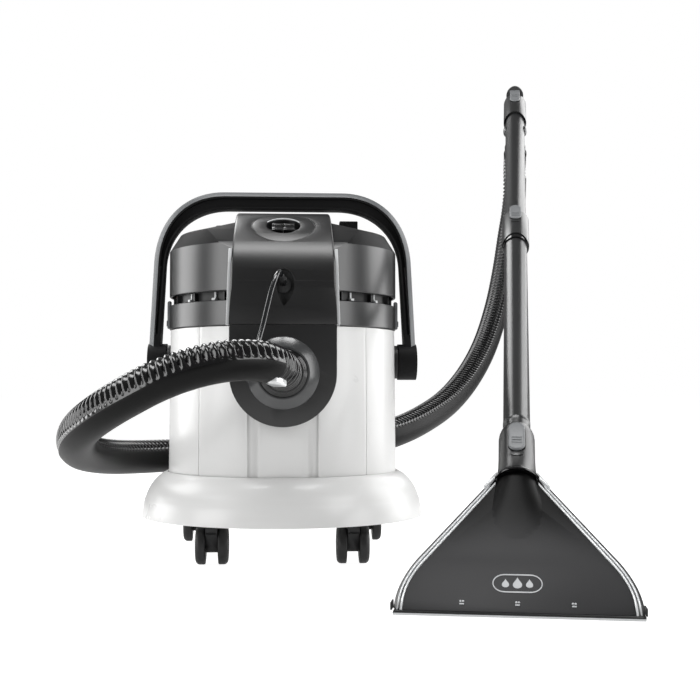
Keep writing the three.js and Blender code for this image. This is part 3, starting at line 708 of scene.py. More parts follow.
class CLEANER_OT_chassis(bpy.types.Operator):
    """Builds the round white chassis with its banded skirt"""
    bl_idname = "cleaner.chassis"
    bl_label = "Chassis"

    def execute(self, context):
        skirt = [
            (0, 66), (186, 66), (189.5, 52), (193, 52), (191.2, 64), (189.6, 74.5), (188.2, 77), (186.6, 82),
            (183.6, 88.5), (181.4, 92.5), (177.2, 98.5), (172, 104), (166.5, 108.6), (160.5, 112),
            (158.2, 112), (158.2, 72), (0, 72),
        ]
        shell = turned(skirt, 180)
        sockets = [rod(11, (x, y, 62.6), (x, y, 70)) for x, y in CASTERS.values()]
        holes = [rod(5.4, (x, y, 60), (x, y, 71), 32) for x, y in CASTERS.values()]
        ribs = [moved(block((28, -1.1, 63.4), (186, 1.1, 67)), turn=math.radians(a), axis="Z")
                for a in range(0, 360, 30)]
        ribs += [hoop(60, 62.4, 63.4, 67, 90), hoop(112, 114.4, 63.4, 67, 90)]
        body = cut(join(shell, *sockets), *holes)
        piece("chassis_shell", body, white_shell(), "machine", ["chassis"], edge=0.9)
        piece("chassis_ribs", bundle(*ribs), white_shell(), "machine", edge=0)
        return {"FINISHED"}


class CLEANER_OT_tub(bpy.types.Operator):
    """Builds the white tub with its fine grooves and the two flutes under the port"""
    bl_idname = "cleaner.tub"
    bl_label = "Tub"

    def execute(self, context):
        look = context.scene.cleaner_tub
        outer = turned([(0, TUB_FOOT), (TUB_WIDE, TUB_FOOT), (TUB_NARROW, TUB_TOP), (0, TUB_TOP)], 180)
        inner = turned([(0, 75.3), (154.2, 75.3), (152.2, 305), (0, 305)], 120)
        inner = cut(inner, block((-200, REAR_CUT - WALL, 0), (200, 200, 400)))
        tools = [block((-200, REAR_CUT, 0), (200, 200, 400)), rod(24, (0, -200, PORT_Z), (0, -100, PORT_Z))]
        for side in (-1, 1):
            slot = block((-look.groove / 2, -160, 108), (look.groove / 2, -154.9, 310))
            tools.append(moved(slot, turn=side * look.groove_angle, axis="Z"))
            channel = [(side * look.flute_inner, -149.5), (side * (look.flute_inner + 1), -165),
                       (side * look.flute_outer, -165), (side * look.flute_outer, -147.6)]
            tools.append(pushed(channel if side > 0 else channel[::-1], "z", 90, 300))
        tools.append(block((-look.flute_inner + 2.2, -170, 90), (look.flute_inner - 2.2, -154.6, 180)))
        behind = block((-look.flute_outer - WALL, -170, 0), (look.flute_outer + WALL, -144, 230))
        body = cut(outer, cut(inner, behind), *tools)
        piece("tub_shell", body, white_shell(), "machine", ["tub"], edge=0.5)
        return {"FINISHED"}


class CLEANER_OT_water_tank(bpy.types.Operator):
    """Builds the lift-out fresh water tank at the back, with its cap, grip and level marks"""
    bl_idname = "cleaner.water_tank"
    bl_label = "Water tank"

    def execute(self, context):
        front = block((-300, -300, 0), (300, REAR_CUT + GAP, 700))
        outer = cut(hull(), front)
        hollow = cut(common(turned([(0, 75.3), (154.2, 75.3), (152.2, 304.3), (154, 309), (154, 410),
                                    (141, 431), (71, 450), (0, 455)], 120), under_arch(-WALL)),
                     block((-300, -300, 0), (300, REAR_CUT + WALL + GAP, 700)))
        tilt = math.radians(-35)
        neck = moved(rod(20, (0, 0, 184), (0, 0, 197)), (0, 0, PIVOT_Z), tilt)
        mouth = moved(rod(16.5, (0, 0, 170), (0, 0, 220)), (0, 0, PIVOT_Z), tilt)
        seams = [turned([(155.9, z), (158.5, z - 0.9), (158.5, z + 0.9)], 160) for z in (304.6, 352.0)]
        grip = common(hoop(150.5, 158.5, 236, 270), block((-52, 100, 230), (52, 170, 276)))
        liner = common(hoop(147.6, 155.2, 233, 273), block((-55, 100, 230), (55, 170, 276)))
        body = cut(join(cut(join(outer, neck), mouth, hollow), liner), grip, *seams)
        tank = piece("water_tank_shell", body, tank_shell(), "water_tank", ["water_tank"],
                     edge=0.9)
        lip = common(turned([(150.6, 262), (157.0, 266), (157.0, 270), (150.6, 270)], 120),
                     block((-52, 100, 230), (52, 170, 276)))
        piece("tank_grip_lip", lip, tank_shell(), "water_tank", edge=0.6)
        marks = []
        for k in range(9):
            wide = 11 if k % 4 == 0 else 6.5
            z = 96 + k * 16
            wall = 157.35 - (z - 72) * 0.0086
            marks.append(common(hoop(156.0, wall, z, z + 1.2, 160),
                                block((70, 100, z - 1), (70 + wide, 160, z + 2))))
        piece("tank_level_marks", bundle(*marks), mid_grey(), "water_tank", edge=0)
        seat, skirt = 197, 192.5
        cap = turned([(0, seat + 0.3), (20.3, seat + 0.3), (20.3, skirt), (23.5, skirt), (23.5, seat + 3.6),
                      (22.4, seat + 5.4), (20.5, seat + 6), (14, seat + 6), (13, seat + 4.6),
                      (0, seat + 4.6)], 96)
        notches = [rod(1.5, (x, y, skirt - 2), (x, y, seat + 9), 12)
                   for x, y in arc((0, 0), 24, 0, math.tau, 24)[:-1]]
        bar = block((-13.5, -2.2, seat + 4.2), (13.5, 2.2, seat + 6))
        cap = join(cut(cap, *notches), bar)
        piece("tank_cap_shell", moved(cap, (0, 0, PIVOT_Z), tilt), black_gloss(), "tank_cap", ["tank_cap"],
              edge=0.35, segments=2)
        return {"FINISHED"}


# ---------- motor head ----------
class CLEANER_OT_head(bpy.types.Operator):
    """Builds the motor head: the lower band, the air slot with its vanes, and the roof"""
    bl_idname = "cleaner.head"
    bl_label = "Motor head"

    def execute(self, context):
        rear = (-300, REAR_CUT, 0), (300, 400, 700)
        band = turned([(0, 305), (155.6, 305), (157, 306.2), (157, 337), (155.8, 338), (154, 338), (154, 309),
                       (0, 309)], 180)
        band = cut(band, block(*rear), rod(13, (0, -25, 300), (0, -25, 320)))
        piece("lower_band", band, grey_band(), "machine", ["motor_plate"], edge=0.4)
        ring = hoop(143, 146, 309.4, 356)
        fins = [moved(block((145, -0.9, 334), (152, 0.9, 349.6)), turn=math.radians(a - 180), axis="Z")
                for a in range(-60, 241, 20)]
        ring = cut(join(ring, *fins), block(*rear))
        piece("air_slot_vanes", ring, black_matt(), "machine", ["vent_ring"], edge=0.25,
              segments=1)
        hooks = []
        for a in (36, 54, 126, 144):
            arm = bundle(block((147.5, -2.6, 338.3), (153.2, 2.6, 341.5)),
                         block((147.5, -1.2, 338.3), (149.5, 1.2, 349.4)))
            hooks.append(moved(arm, turn=math.radians(-a), axis="Z"))
        piece("air_slot_clips", bundle(*hooks), light_trim(), "machine", edge=0.3,
              segments=2)
        outer = turned([
            (0, 350), (156.2, 350), (157, 350.9), (157, 412), (143, 434), (71, 453), (0, 458)], 180)
        inner = turned([(0, 349), (154, 349), (154, 410.5), (141.5, 431), (70.5, 450), (0, 455)], 120)
        hollow = cut(common(inner, under_arch(-WALL)), pod_well(WALL))
        roof = cut(common(outer, under_arch()), hollow, pod_well(), block(*rear))
        head = piece("head_roof", roof, grey_band(), "machine", ["head_cover"], edge=0.8)
        roof_foot = 412.5  # the roof starts just over the straight wall
        refinish(head, dull_black(), lambda middle: middle.z > roof_foot)
        return {"FINISHED"}


def crown_outline(by=0.0):
    """The front cover's side outline in (y, z), drawn inside its edge by a distance."""
    front, crown = COVER_FRONT + by, CROWN - by
    reach = 0.815  # where the crown's arc gives way to the front's curve, as a share of the front's distance
    begin = math.acos(-COVER_FRONT * reach / crown)
    end = math.acos((REAR_CUT - by) / crown)
    shape = [(front, 305 - by), (REAR_CUT - by, 300 - by)]
    shape += arc((0, PIVOT_Z), crown, end, math.pi - begin, 60)
    return round_points(shape + [((front + 5, 388), (front + 2, 352))], 16)


def spine(by=0.0):
    """The front cover as a solid, drawn inside its faces by a distance and narrower at its crown."""
    bm = pushed(crown_outline(by), "x", -SPINE_HALF + by, SPINE_HALF - by)
    for v in bm.verts:
        share = min(1.0, max(0.0, (v.co.z - SPINE_FOOT) / (SPINE_TOP - SPINE_FOOT)))
        v.co.x *= 1 + share * (CROWN_HALF / SPINE_HALF - 1)
    return bm


class CLEANER_OT_front_cover(bpy.types.Operator):
    """Builds the black front cover with its crown, the spray line's recess, the trims and the switch pod"""
    bl_idname = "cleaner.front_cover"
    bl_label = "Front cover"

    def execute(self, context):
        def shoulder(middle, way):
            return middle.z > 330 and abs(middle.x) > 60 and abs(way.x) < 0.5
        outer = rounded(spine(), 7, shoulder)
        inner = rounded(spine(WALL), 4.5, shoulder)
        drop = round_points([(-9, 366), ((-8, 378), (9, 378), (12.5, 363)), ((16, 349), (13, 341), (1, 328)),
                             ((-6, 336), (-9, 350), (-9, 366))], 14)
        seam = block((-80, -180, 359.6), (80, COVER_FRONT + 3.1, 360.4))
        shell = cut(outer, hull(GAP), inner, block((-100, -300, 200), (100, 100, 305)),
                    on_pod(rod(42.3, (0, 0, -20), (0, 0, 20), 96)), pushed(drop, "y", -200, -160))
        shell = cut(shell, seam)
        piece("front_cover_shell", shell, black_cover(), "machine", ["front_cover"],
              edge=1.4)
        cup = cut(pushed(inset(drop, 1.6), "y", -169.2, -160), pushed(drop, "y", -175, -161.5))
        piece("spray_recess", cup, black_matt(), "machine", edge=0.3, segments=2)
        boss = rod(10, (0, -165, 355), (0, -163, 355), 48)
        barb = [rod(4.6, (0, -164, 357), (0, -172, 361.6), 40)]
        for share in (0, 0.34, 0.68):
            start = Vector((0, -172, 361.6)).lerp(Vector((-3, -178.5, 366)), share)
            barb.append(rod(4.1, start, start + Vector((-1.0, -2.1, 1.45)), 32, 3.4))
        piece("spray_outlet_barb", join(boss, *barb), black_matt(), "machine", ["spray_outlet"],
              edge=0.3, segments=2)
        plug = common(on_pod(rod(42, (0, 0, -14), (0, 0, 20), 96)), spine())
        recess = on_pod(rod(22.5, (0, 0, -11), (0, 0, 20), 72))
        groove = on_pod(hoop(40.4, 41, -1.2, 12, 96))
        plug = cut(plug, recess, groove, hull(GAP))
        piece("switch_pod_disc", plug, black_cover(), "machine", ["switch_pod"], edge=0.6)
        rim = common(on_pod(hoop(22.7, 23.9, -1.5, 0.5, 96)), on_pod(block((-21, 8, -10), (21, 40, 10))))
        piece("switch_pod_rim", rim, light_trim(), "machine", edge=0.2, segments=2)
        for side, name in ((-1, "suction_button"), (1, "spray_button")):
            low, high = (0.6, 14.6) if side > 0 else (-14.6, -0.6)
            pad = block((low, -11, -7.6), (high, 11, -1.5))
            dish = moved(rod(26, (low - 5, 0, 0), (high + 5, 0, 0), 64), (0, 0, 23.2))
            middle = (low + high) / 2
            grips = [block((middle - 4, y - 0.35, -2.4), (middle + 4, y + 0.35, 0)) for y in (-6, -4, -2)]
            pad = cut(pad, dish, *grips)
            piece(name + "_pad", on_pod(pad), black_gloss(), name, [name], edge=0.6)
        for side in (-1, 1):
            name = "side_trim_left" if side < 0 else "side_trim_right"
            strip = [(side * 68.4, 305), (side * 72.4, 305), (side * 69.2, 402), (side * 65.2, 402)]
            trim = cut(pushed(strip, "y", -156, -130), hull(GAP))
            piece(name + "_strip", trim, light_trim(), "machine", [name], edge=0.7)
        return {"FINISHED"}


class CLEANER_OT_port(bpy.types.Operator):
    """Builds the port panel, its grey cone and the hose cuff"""
    bl_idname = "cleaner.port"
    bl_label = "Hose port"

    def execute(self, context):
        def outline(by):
            r = 67.5 - by
            return [(r, 304.4 - by), (-r, 304.4 - by)] + arc((0, PORT_Z), r, math.pi, math.tau, 64)
        tube = rod(27, (0, -180, PORT_Z), (0, -120, PORT_Z), 64)
        hollow = cut(pushed(outline(WALL), "y", COVER_FRONT + WALL, -100), tube)
        panel = cut(pushed(outline(0), "y", COVER_FRONT, -120), hollow,
                    rod(24, (0, -200, PORT_Z), (0, -100, PORT_Z), 64), hull(GAP))
        piece("port_panel_shell", panel, black_cover(), "machine", ["port_panel"], edge=1.6)

        def along_y(outline_points, steps=96):
            bm = turned([(r, -y) for r, y in outline_points], steps)
            return moved(bm, (0, 0, PORT_Z), math.pi / 2)
        cone = along_y([(30.5, -172.3), (46, -172.3), (46, -173.6), (44.8, -175), (33.4, -183), (30.5, -183)])
        piece("port_cone", cone, ring_grey(), "machine", ["port_ring"], edge=0.5)
        cuff = along_y([
            (19, -152), (23.7, -152), (23.7, -172.3), (29.9, -172.3), (29.9, -188.5), (28.6, -190),
            (27, -190.4), (27, -192), (28.2, -192.6), (28.2, -198), (27, -199.4), (25.2, -199.8),
            (25.2, -201.4), (26.2, -202), (26.2, -210.4), (24.8, -212), (19, -212)])
        grips = [moved(block((29.2, -188, -1.2), (31, -175, 1.2)), (0, 0, PORT_Z), math.radians(a), "Y")
                 for a in range(0, 360, 15)]
        piece("hose_cuff_shell", cut(cuff, *grips), black_gloss(), "machine", ["hose_cuff"],
              edge=0.4, segments=2)
        return {"FINISHED"}


# ---------- carry handle ----------
class CLEANER_OT_carry_handle(bpy.types.Operator):
    """Builds the carry handle, a channelled bow with round ends, and its pivots"""
    bl_idname = "cleaner.carry_handle"
    bl_label = "Carry handle"

    def execute(self, context):
        foot = 262

        def outer_edge(low, *more):
            return round_points([
                (186, low), (179, 395), ((176.5, 462), (135, 498.5), (82, 498.5)), *more], 28)

        def bow(outer, low):
            """The bow's outline down to a height, its two curves moved in by the distances in outer."""
            edge = outer_edge(low)
            back = round_points([(76, 474.5), ((124, 474.5), (160, 443), (163, 395)), (170, low)], 28)
            if outer:
                edge = [p + n * outer[0] for p, n in zip(edge, normals(edge))]
                back = [p + n * outer[1] for p, n in zip(back, normals(back))]
            left = [(-p.x, p.y) for p in reversed(edge)]
            right = [tuple(p) for p in edge]
            return right + left + [(-p.x, p.y) for p in reversed(back)] + [tuple(p) for p in back]

        def normals(points):
            result = []
            for i in range(len(points)):
                along = (points[min(i + 1, len(points) - 1)] - points[max(i - 1, 0)]).normalized()
                result.append(Vector((-along.y, along.x)))
            return result
        bar = pushed(bow(None, foot), "y", -14, 14)
        edge_points = outer_edge(foot, (0, 498.5))
        edge_lines = list(zip(edge_points, edge_points[1:]))

        def from_edge(middle):
            here = Vector((abs(middle.x), middle.z))
            return min((here - geometry.intersect_point_line(here, a, b)[0].xy).length for a, b in edge_lines)
        bar = rounded(bar, 6.5, lambda middle, way: abs(middle.y) > 13 and from_edge(middle) < 1, 1)
        recess = [pushed(bow((9.5, 2.6), 300), "y", *span) for span in ((-20, -7), (7, 20))]
        ends = [rod(25, (s * 160.5, 0, PIVOT_Z), (s * 186, 0, PIVOT_Z), 96) for s in (-1, 1)]
        holes = [rod(10.3, (s * 150, 0, PIVOT_Z), (s * 182, 0, PIVOT_Z)) for s in (-1, 1)]
        rims = [moved(hoop(17, 19, 184.6, 190, 72), (0, 0, PIVOT_Z), s * math.pi / 2, "Y") for s in (-1, 1)]
        whole = cut(join(cut(bar, *recess), *ends), *holes, *rims)
        obj = piece("carry_handle_bow", whole, dull_black(), "carry_handle", ["carry_handle"],
                    edge=1.1)
        # Painted highlight: faces on the outer flange band get the lighter flange colour.
        flange_foot, flange_width = 292, 8.6
        refinish(obj, painted_flange_highlight(),
                 lambda middle: middle.z > flange_foot and from_edge(middle) < flange_width)
        for side, name in ((-1, "handle_pivot_left"), (1, "handle_pivot_right")):
            plate = join(rod(23, (side * 148, 0, PIVOT_Z), (side * 160, 0, PIVOT_Z), 72),
                         rod(10, (side * 155, 0, PIVOT_Z), (side * 181.5, 0, PIVOT_Z)))
            piece(name + "_boss", cut(plate, hull(GAP)), black_matt(), "machine", [name],
                  edge=0.6)
        return {"FINISHED"}


# ---------- casters ----------
class CLEANER_OT_casters(bpy.types.Operator):
    """Builds the twin-wheel casters"""
    bl_idname = "cleaner.casters"
    bl_label = "Casters"

    def execute(self, context):
        for name, (x, y) in CASTERS.items():
            side = [(-11, 61), (-11, 46), (TRAIL - 10, WHEEL - 3)]
            side += arc((TRAIL, WHEEL), 10, math.pi + 0.3, math.tau + 0.6, 16)
            side += [(TRAIL + 10, 44), (11, 54), (11, 61)]
            fin = pushed(side, "x", -7.5, 7.5)
            guard = moved(hoop(26.2, 28.6, -6.5, 6.5, 72), (0, TRAIL, WHEEL), math.pi / 2, "Y")
            guard = common(guard, block((-7.4, -11, 40), (7.4, 30, 51.6)))
            fork = join(fin, rod(11, (0, 0, 52.5), (0, 0, 62.2)), rod(5, (0, 0, 60), (0, 0, 70.5), 32),
                        rod(3, (-19, TRAIL, WHEEL), (19, TRAIL, WHEEL), 32), guard)
            piece("caster_fork_%s_moulding" % name, moved(fork, (x, y, 0)), black_matt(), "caster_" + name,
                  ["caster_fork_" + name], edge=0.7)
            for s, letter in ((-1, "l"), (1, "r")):
                tyre = turned([
                    (3.3, 0), (20, 0), (21.5, 1), (24, 0.4), (25, 1.6), (25, 8), (24.4, 10), (22.6, 12),
                    (20, 13), (18.6, 12.2), (17.5, 10), (8, 10), (7, 12.4), (3.3, 12.4)], 72)
                wheel = "caster_wheel_%s_%s" % (name, letter)
                tyre = moved(moved(tyre, turn=s * math.pi / 2, axis="Y"), (x + s * 7.8, y + TRAIL, WHEEL))
                piece(wheel + "_tyre", tyre, tyre_rubber(), wheel, [wheel], edge=0.3,
                      segments=2)
        return {"FINISHED"}


# ---------- hoses ----------
def smooth_line(points, step):
    """Even points along a smooth curve through the given ones."""
    points = [Vector(p) for p in points]
    ends = [points[0] * 2 - points[1]] + points + [points[-1] * 2 - points[-2]]
    fine = []
    for p0, p1, p2, p3 in zip(ends, ends[1:], ends[2:], ends[3:]):
        d0, d1, d2 = [(b - a).length ** 0.5 for a, b in ((p0, p1), (p1, p2), (p2, p3))]
        t1 = ((p1 - p0) / d0 - (p2 - p0) / (d0 + d1) + (p2 - p1) / d1) * d1
        t2 = ((p2 - p1) / d1 - (p3 - p1) / (d1 + d2) + (p3 - p2) / d2) * d1
        for k in range(40):
            t = k / 40
            fine.append(p1 + t1 * t + (p2 * 3 - p1 * 3 - t1 * 2 - t2) * t * t
                        + (p1 * 2 - p2 * 2 + t1 + t2) * t ** 3)
    fine.append(points[-1])
    run, marks = 0.0, [0.0]
    for a, b in zip(fine, fine[1:]):
        run += (b - a).length
        marks.append(run)
    count = round(run / step)
    result, at = [], 0
    for k in range(count + 1):
        want = run * k / count
        while at < len(marks) - 2 and marks[at + 1] < want:
            at += 1
        share = (want - marks[at]) / (marks[at + 1] - marks[at])
        result.append(fine[at].lerp(fine[at + 1], min(1.0, share)))
    return result, run


def skin_along(line, down, section, sides):
    """A closed tube along a line: a grid rolled up, whose radius at ring i and angle a is section(i, a)."""
    bm = bmesh.new()
    grid = bmesh.ops.create_grid(bm, x_segments=len(line) - 1, y_segments=sides, size=1)["verts"]
    along = (line[1] - line[0]).normalized()
    down = (down - along * down.dot(along)).normalized()
    frames = []
    for i, centre in enumerate(line):
        way = (line[min(i + 1, len(line) - 1)] - line[max(i - 1, 0)]).normalized()
        down = along.rotation_difference(way) @ down
        along = way
        down = (down - along * down.dot(along)).normalized()
        frames.append((centre, down, along.cross(down)))
    for v in grid:
        i = round((v.co.x + 1) / 2 * (len(line) - 1))
        a = math.tau * (v.co.y + 1) / 2
        centre, low, side = frames[i]
        v.co = centre + (low * math.cos(a) + side * math.sin(a)) * section(i, a % math.tau)
    bmesh.ops.remove_doubles(bm, verts=bm.verts, dist=0.0005)
    bmesh.ops.holes_fill(bm, edges=[e for e in bm.edges if e.is_boundary], sides=0)
    bmesh.ops.recalc_face_normals(bm, faces=bm.faces)
    return bm


class HoseSettings(bpy.types.PropertyGroup):
    pitch: number("Rib pitch", "Distance from rib to rib", 8.1)
    crest: number("Rib radius", "Radius over the ribs", 23.2)
    root: number("Root radius", "Radius between the ribs", 19.8)
    sleeve: number("Sleeve radius", "Radius of the smooth lower sleeve", 24.6)


class CLEANER_OT_suction_hose(bpy.types.Operator):
    """Builds the corrugated suction hose with the smooth spray line sleeve along its lower side"""
    bl_idname = "cleaner.suction_hose"
    bl_label = "Suction hose"

    def execute(self, context):
        look = context.scene.cleaner_hose
        rings_per_rib = 6
        bare_start, bare_end = 70, 60  # what the sleeve leaves free at the port and at the wand
        line, length = smooth_line(HOSE_ROUTE, look.pitch / rings_per_rib)
        last = len(line) - 1
        sleeve_start = round(bare_start / length * last)
        sleeve_end = round((length - bare_end) / length * last)

        def section(i, angle):
            phase = math.cos(math.tau * i / rings_per_rib)
            rib = look.root + (look.crest - look.root) * (0.5 + 0.5 * phase) ** 0.7
            if i < rings_per_rib or i > last - rings_per_rib:
                rib = look.crest
            lower = math.cos(angle)
            if lower > 0.0 and sleeve_start <= i <= sleeve_end:
                return look.sleeve if lower > 0.12 else look.sleeve - 1.4
            return rib
        hose = skin_along(line, Vector((0, 0, -1)), section, 44)
        obj = piece("suction_hose_skin", hose, hose_skin(), "machine", ["suction_hose"], edge=0,
                    sharp=70)
        tree = kdtree.KDTree(len(line))
        for i, centre in enumerate(line):
            tree.insert(centre, i)
        tree.balance()
        refinish(obj, sleeve_skin(), lambda middle: tree.find(middle)[2] > look.sleeve - 0.75)
        at = sleeve_start - 9
        way = (line[at + 1] - line[at - 1]).normalized()
        tongue = rounded(block((-6, -10, -14), (3, 10, 14)), 2.6, lambda middle, way: True, 4)
        turn = Matrix((Vector((0, 0, -1)), Vector((0, 0, -1)).cross(way), way)).transposed()
        bmesh.ops.transform(tongue, matrix=turn.to_4x4(), verts=tongue.verts)
        bmesh.ops.translate(tongue, verts=tongue.verts, vec=line[at] + Vector((0, -11, -20)))
        piece("sleeve_tongue", tongue, clear_with_painted_highlight(), "machine", edge=0)
        return {"FINISHED"}


class CLEANER_OT_spray_hose(bpy.types.Operator):
    """Builds the thin spray hose from the front cover into the suction hose"""
    bl_idname = "cleaner.spray_hose"
    bl_label = "Spray hose"

    def execute(self, context):
        line, length = smooth_line(SPRAY_ROUTE, 1.5)
        tube = skin_along(line, Vector((1, 0, 0)), lambda i, a: 3.25, 20)
        obj = piece("spray_hose_skin", tube, line_skin(), "machine", ["spray_hose"], edge=0,
                    sharp=60)
        return {"FINISHED"}


# ---------- wand ----------
class WandSettings(bpy.types.PropertyGroup):
    badge_width: number("Badge width", "Width of the floor tool's badge", 50)
    badge_height: number("Badge height", "Height of the badge along the floor tool", 25)
    badge_place: number("Badge place", "The badge's middle, from the lip along the floor tool", 41)


def along_wand(outline, steps=96):
    return moved(turned(outline, steps), (0, WAND_AXIS, 0))


def tool_outline(by, bottom=-20.0):
    """The floor tool's outline in (across, along), drawn inside its edge by a distance."""
    half, slope = 124 - by, by * 1.17
    right = [(half, bottom), (half - 1.5, 16), ((half - 3, 44), (104 - slope, 75 - by / 4)),
             (24 - by / 2, 206 - slope)]
    points = round_points(right, 14)
    return points + [Vector((-p.x, p.y)) for p in reversed(points)]


def above_floor(bm):
    """Cuts a wand shape off level, just over the lip."""
    bmesh.ops.transform(bm, matrix=Matrix.Rotation(LEAN_TURN, 4, "X"), verts=bm.verts)
    result = cut(bm, block((-300, -300, -200), (300, 300, LIP_TOP)))
    bmesh.ops.transform(result, matrix=Matrix.Rotation(-LEAN_TURN, 4, "X"), verts=result.verts)
    return result


def from_above(outline, height, start=-30):
    """A tool that cuts from the wand's top side down to a height over its axis."""
    return pushed(outline, "y", start, WAND_AXIS - height)


def lying_pill(width, height, middle):
    """A pill lying across the wand, in (across, along)."""
    r = height / 2
    return arc((width / 2 - r, middle), r, -math.pi / 2, math.pi / 2, 20) + arc(
        (r - width / 2, middle), r, math.pi / 2, 3 * math.pi / 2, 20)


def slide_button(name, width, length, place, top, depth):
    """A release button with rounded top edges and grip lines."""
    pad = rounded(pushed(pill(width, length, place), "y", WAND_AXIS - top, WAND_AXIS - top + depth), 1.3,
                  lambda middle, way: middle.y < WAND_AXIS - top + 0.2 and abs(way.y) < 0.5, 4)
    lines = [block((-width * 0.3, WAND_AXIS - top - 1, place - 4.5 - 4.5 * k),
                   (width * 0.3, WAND_AXIS - top + 0.7, place - 3.3 - 4.5 * k)) for k in range(3)]
    piece(name + "_pad", cut(pad, *lines), mid_grey(), name, [name], place=LEANED,
          edge=0.25, segments=2)


def collar_cut(place):
    """The arch that a coupling's lower edge has on its top side."""
    return rod(24, (0, -40, place - 13), (0, WAND_AXIS, place - 13), 96)


class CLEANER_OT_floor_tool(bpy.types.Operator):
    """Builds the wide floor tool: duct, smoked cover with clear edges, lip, spray bar and badge"""
    bl_idname = "cleaner.floor_tool"
    bl_label = "Floor tool"

    def execute(self, context):
        look = context.scene.cleaner_wand
        shell = pushed(tool_outline(0), "y", 0, 20)
        hollow = pushed(tool_outline(7), "y", -1, 17)
        neck = along_wand([(0, 186), (31, 186), (27.5, 193), (24.6, 201), (22.6, 210), (21.4, 222), (21, 236),
                           (21, 274), (20.4, 280), (18.8, 286), (17.6, 289.4), (0, 290)], 120)
        bore = along_wand([(0, 150), (14, 150), (14, 258), (17.2, 258), (17.2, 300), (0, 300)], 64)
        pocket = from_above(pill(19.4, 48.8, 257), 18.2)
        moat = cut(from_above(pill(25.6, 60, 254), 19.6), from_above(pill(23, 57.4, 254), 6, -31))
        skirt = pushed(tool_outline(5.5), "y", -40, 0)
        skirt = common(skirt, block((-200, -60, -60), (200, 0, 208)))
        body = cut(join(cut(shell, hollow), neck), bore, pocket, moat, skirt)
        piece("floor_tool_duct", above_floor(body), black_cover(), "floor_tool", ["floor_tool_body"],
              place=LEANED, edge=1.0)

        plate = pushed(tool_outline(9.6), "y", -3.4, -GAP)
        top, foot = Vector((0, WAND_AXIS, 203)), Vector((0, 52, 74))
        line = [top.lerp(foot, k / 40) for k in range(41)]
        funnel = skin_along(line, Vector((0, -1, 0)), lambda i, a: 23.4 + 30 * (i / 40) ** 1.1, 64)
        for v in funnel.verts:
            v.co.x *= 1 + 1.1 * min(1.0, max(0.0, (203 - v.co.z) / 110)) ** 1.3
        funnel = common(funnel, pushed(tool_outline(10), "y", -40, -0.4))
        throat = along_wand([(0, 150), (21.6, 196), (21.6, 240), (0, 240)])
        plate = above_floor(cut(join(plate, funnel), throat))
        piece("floor_tool_cover_skin", plate, smoked_cover(), "floor_tool", ["floor_tool_cover"],
              place=LEANED, edge=1.2, sharp=24)
        # Two clear ridges round the cover, painted near white as painted highlights.
        ridges = []
        for outer, inner_edge, top in ((3.4, 5.2, -3.2), (7.2, 9.2, -4.4)):
            ring = cut(pushed(tool_outline(outer), "y", top, -GAP),
                       pushed(tool_outline(inner_edge, -30), "y", -9, 3))
            ridges.append(above_floor(cut(ring, block((-23.5, -20, 170), (23.5, 20, 230)))))
        piece("floor_tool_clear_edge", bundle(*ridges), clear_with_painted_highlight(), "floor_tool",
              place=LEANED, edge=0.35, segments=2)
        # Painted glints: bright wedges beside the neck, where light glints on the clear cover.
        glint_shapes = []
        for side in (-1, 1):
            wedge = [(side * 22, 207), (side * 24, 205), (side * 30, 195), (side * 36.6, 184),
                     (side * 34.4, 182.6), (side * 22, 198)]
            glint_shapes.append(pushed(wedge, "y", -6.6, -GAP))
        piece("floor_tool_catches", bundle(*glint_shapes), clear_with_painted_highlight(), "floor_tool",
              place=LEANED, edge=1.1)
        arch = along_wand([(22.4, 199.5), (27.2, 195.5), (28, 197.5), (25.6, 202.6), (23.6, 204)], 120)
        arch = common(arch, block((-30, -60, 180), (30, 0, 230)))
        piece("floor_tool_arch", arch, black_gloss(), "floor_tool", place=LEANED,
              edge=0.4)

        frame_bar = cut(block((-122.5, -6, 0), (122.5, 32, 4)), block((-114, 4, -1), (114, 20, 5)),
                        block((-130, -20, 2.5), (-122, 40, 9)))
        strip, seat = block((-130, -20, -1), (130, 40, 2.3)), block((-130, -20, 2.3), (130, 40, 5))
        piece("floor_tool_lip_frame", cut(frame_bar.copy(), seat), light_trim(), "floor_tool",
              ["floor_tool_lip"], place=WAND_FRAME, edge=0.5)
        piece("floor_tool_lip_seat", cut(frame_bar, strip), black_matt(), "floor_tool",
              place=WAND_FRAME, edge=0.5)
        ends = [block((side * 123.6 - 1.4, -5, 4.4), (side * 123.6 + 0.4, 14, 12)) for side in (-1, 1)]
        piece("floor_tool_end_pads", bundle(*ends), black_matt(), "floor_tool",
              place=WAND_FRAME, edge=0.5)

        outer = pushed(lying_pill(look.badge_width, look.badge_height, look.badge_place), "y", -3.75, -3.2)
        inside = lying_pill(look.badge_width - 2, look.badge_height - 3.2, look.badge_place)
        drops = []
        for x, size in ((-12, 3.6), (0, 4.6), (12, 3.6)):
            middle = look.badge_place - 1.6
            point, brow, cheek, low = [middle + size * share for share in (2.1, 1, 0.6, -0.1)]
            shape = round_points([
                (x, point), ((x - size * 0.4, brow), (x - size, cheek), (x - size, low))], 8)
            shape += arc((x, low), size, math.pi, math.tau, 16)[1:]
            shape += round_points([
                (x + size, low), ((x + size, cheek), (x + size * 0.4, brow), (x, point))], 8)[1:-1]
            drops.append(pushed(shape, "y", -3.7, -3.2))
        piece("floor_tool_badge", bundle(cut(outer, pushed(inside, "y", -5, -3)), *drops), badge_print(),
              "floor_tool", place=LEANED, edge=0)
        marks = []
        for x in (-55, 0, 55):
            marks.append(block((x - 2.3, -4.2, 11), (x + 2.3, -3.2, 12.8)))
            marks += [rod(1.2, (x + side * 1.3, -4.3, 15.4), (x + side * 1.3, -3.2, 15.4), 20)
                      for side in (-1, 1)]
        piece("floor_tool_jet_marks", bundle(*marks), badge_print(), "floor_tool",
              place=LEANED, edge=0.2, segments=2)

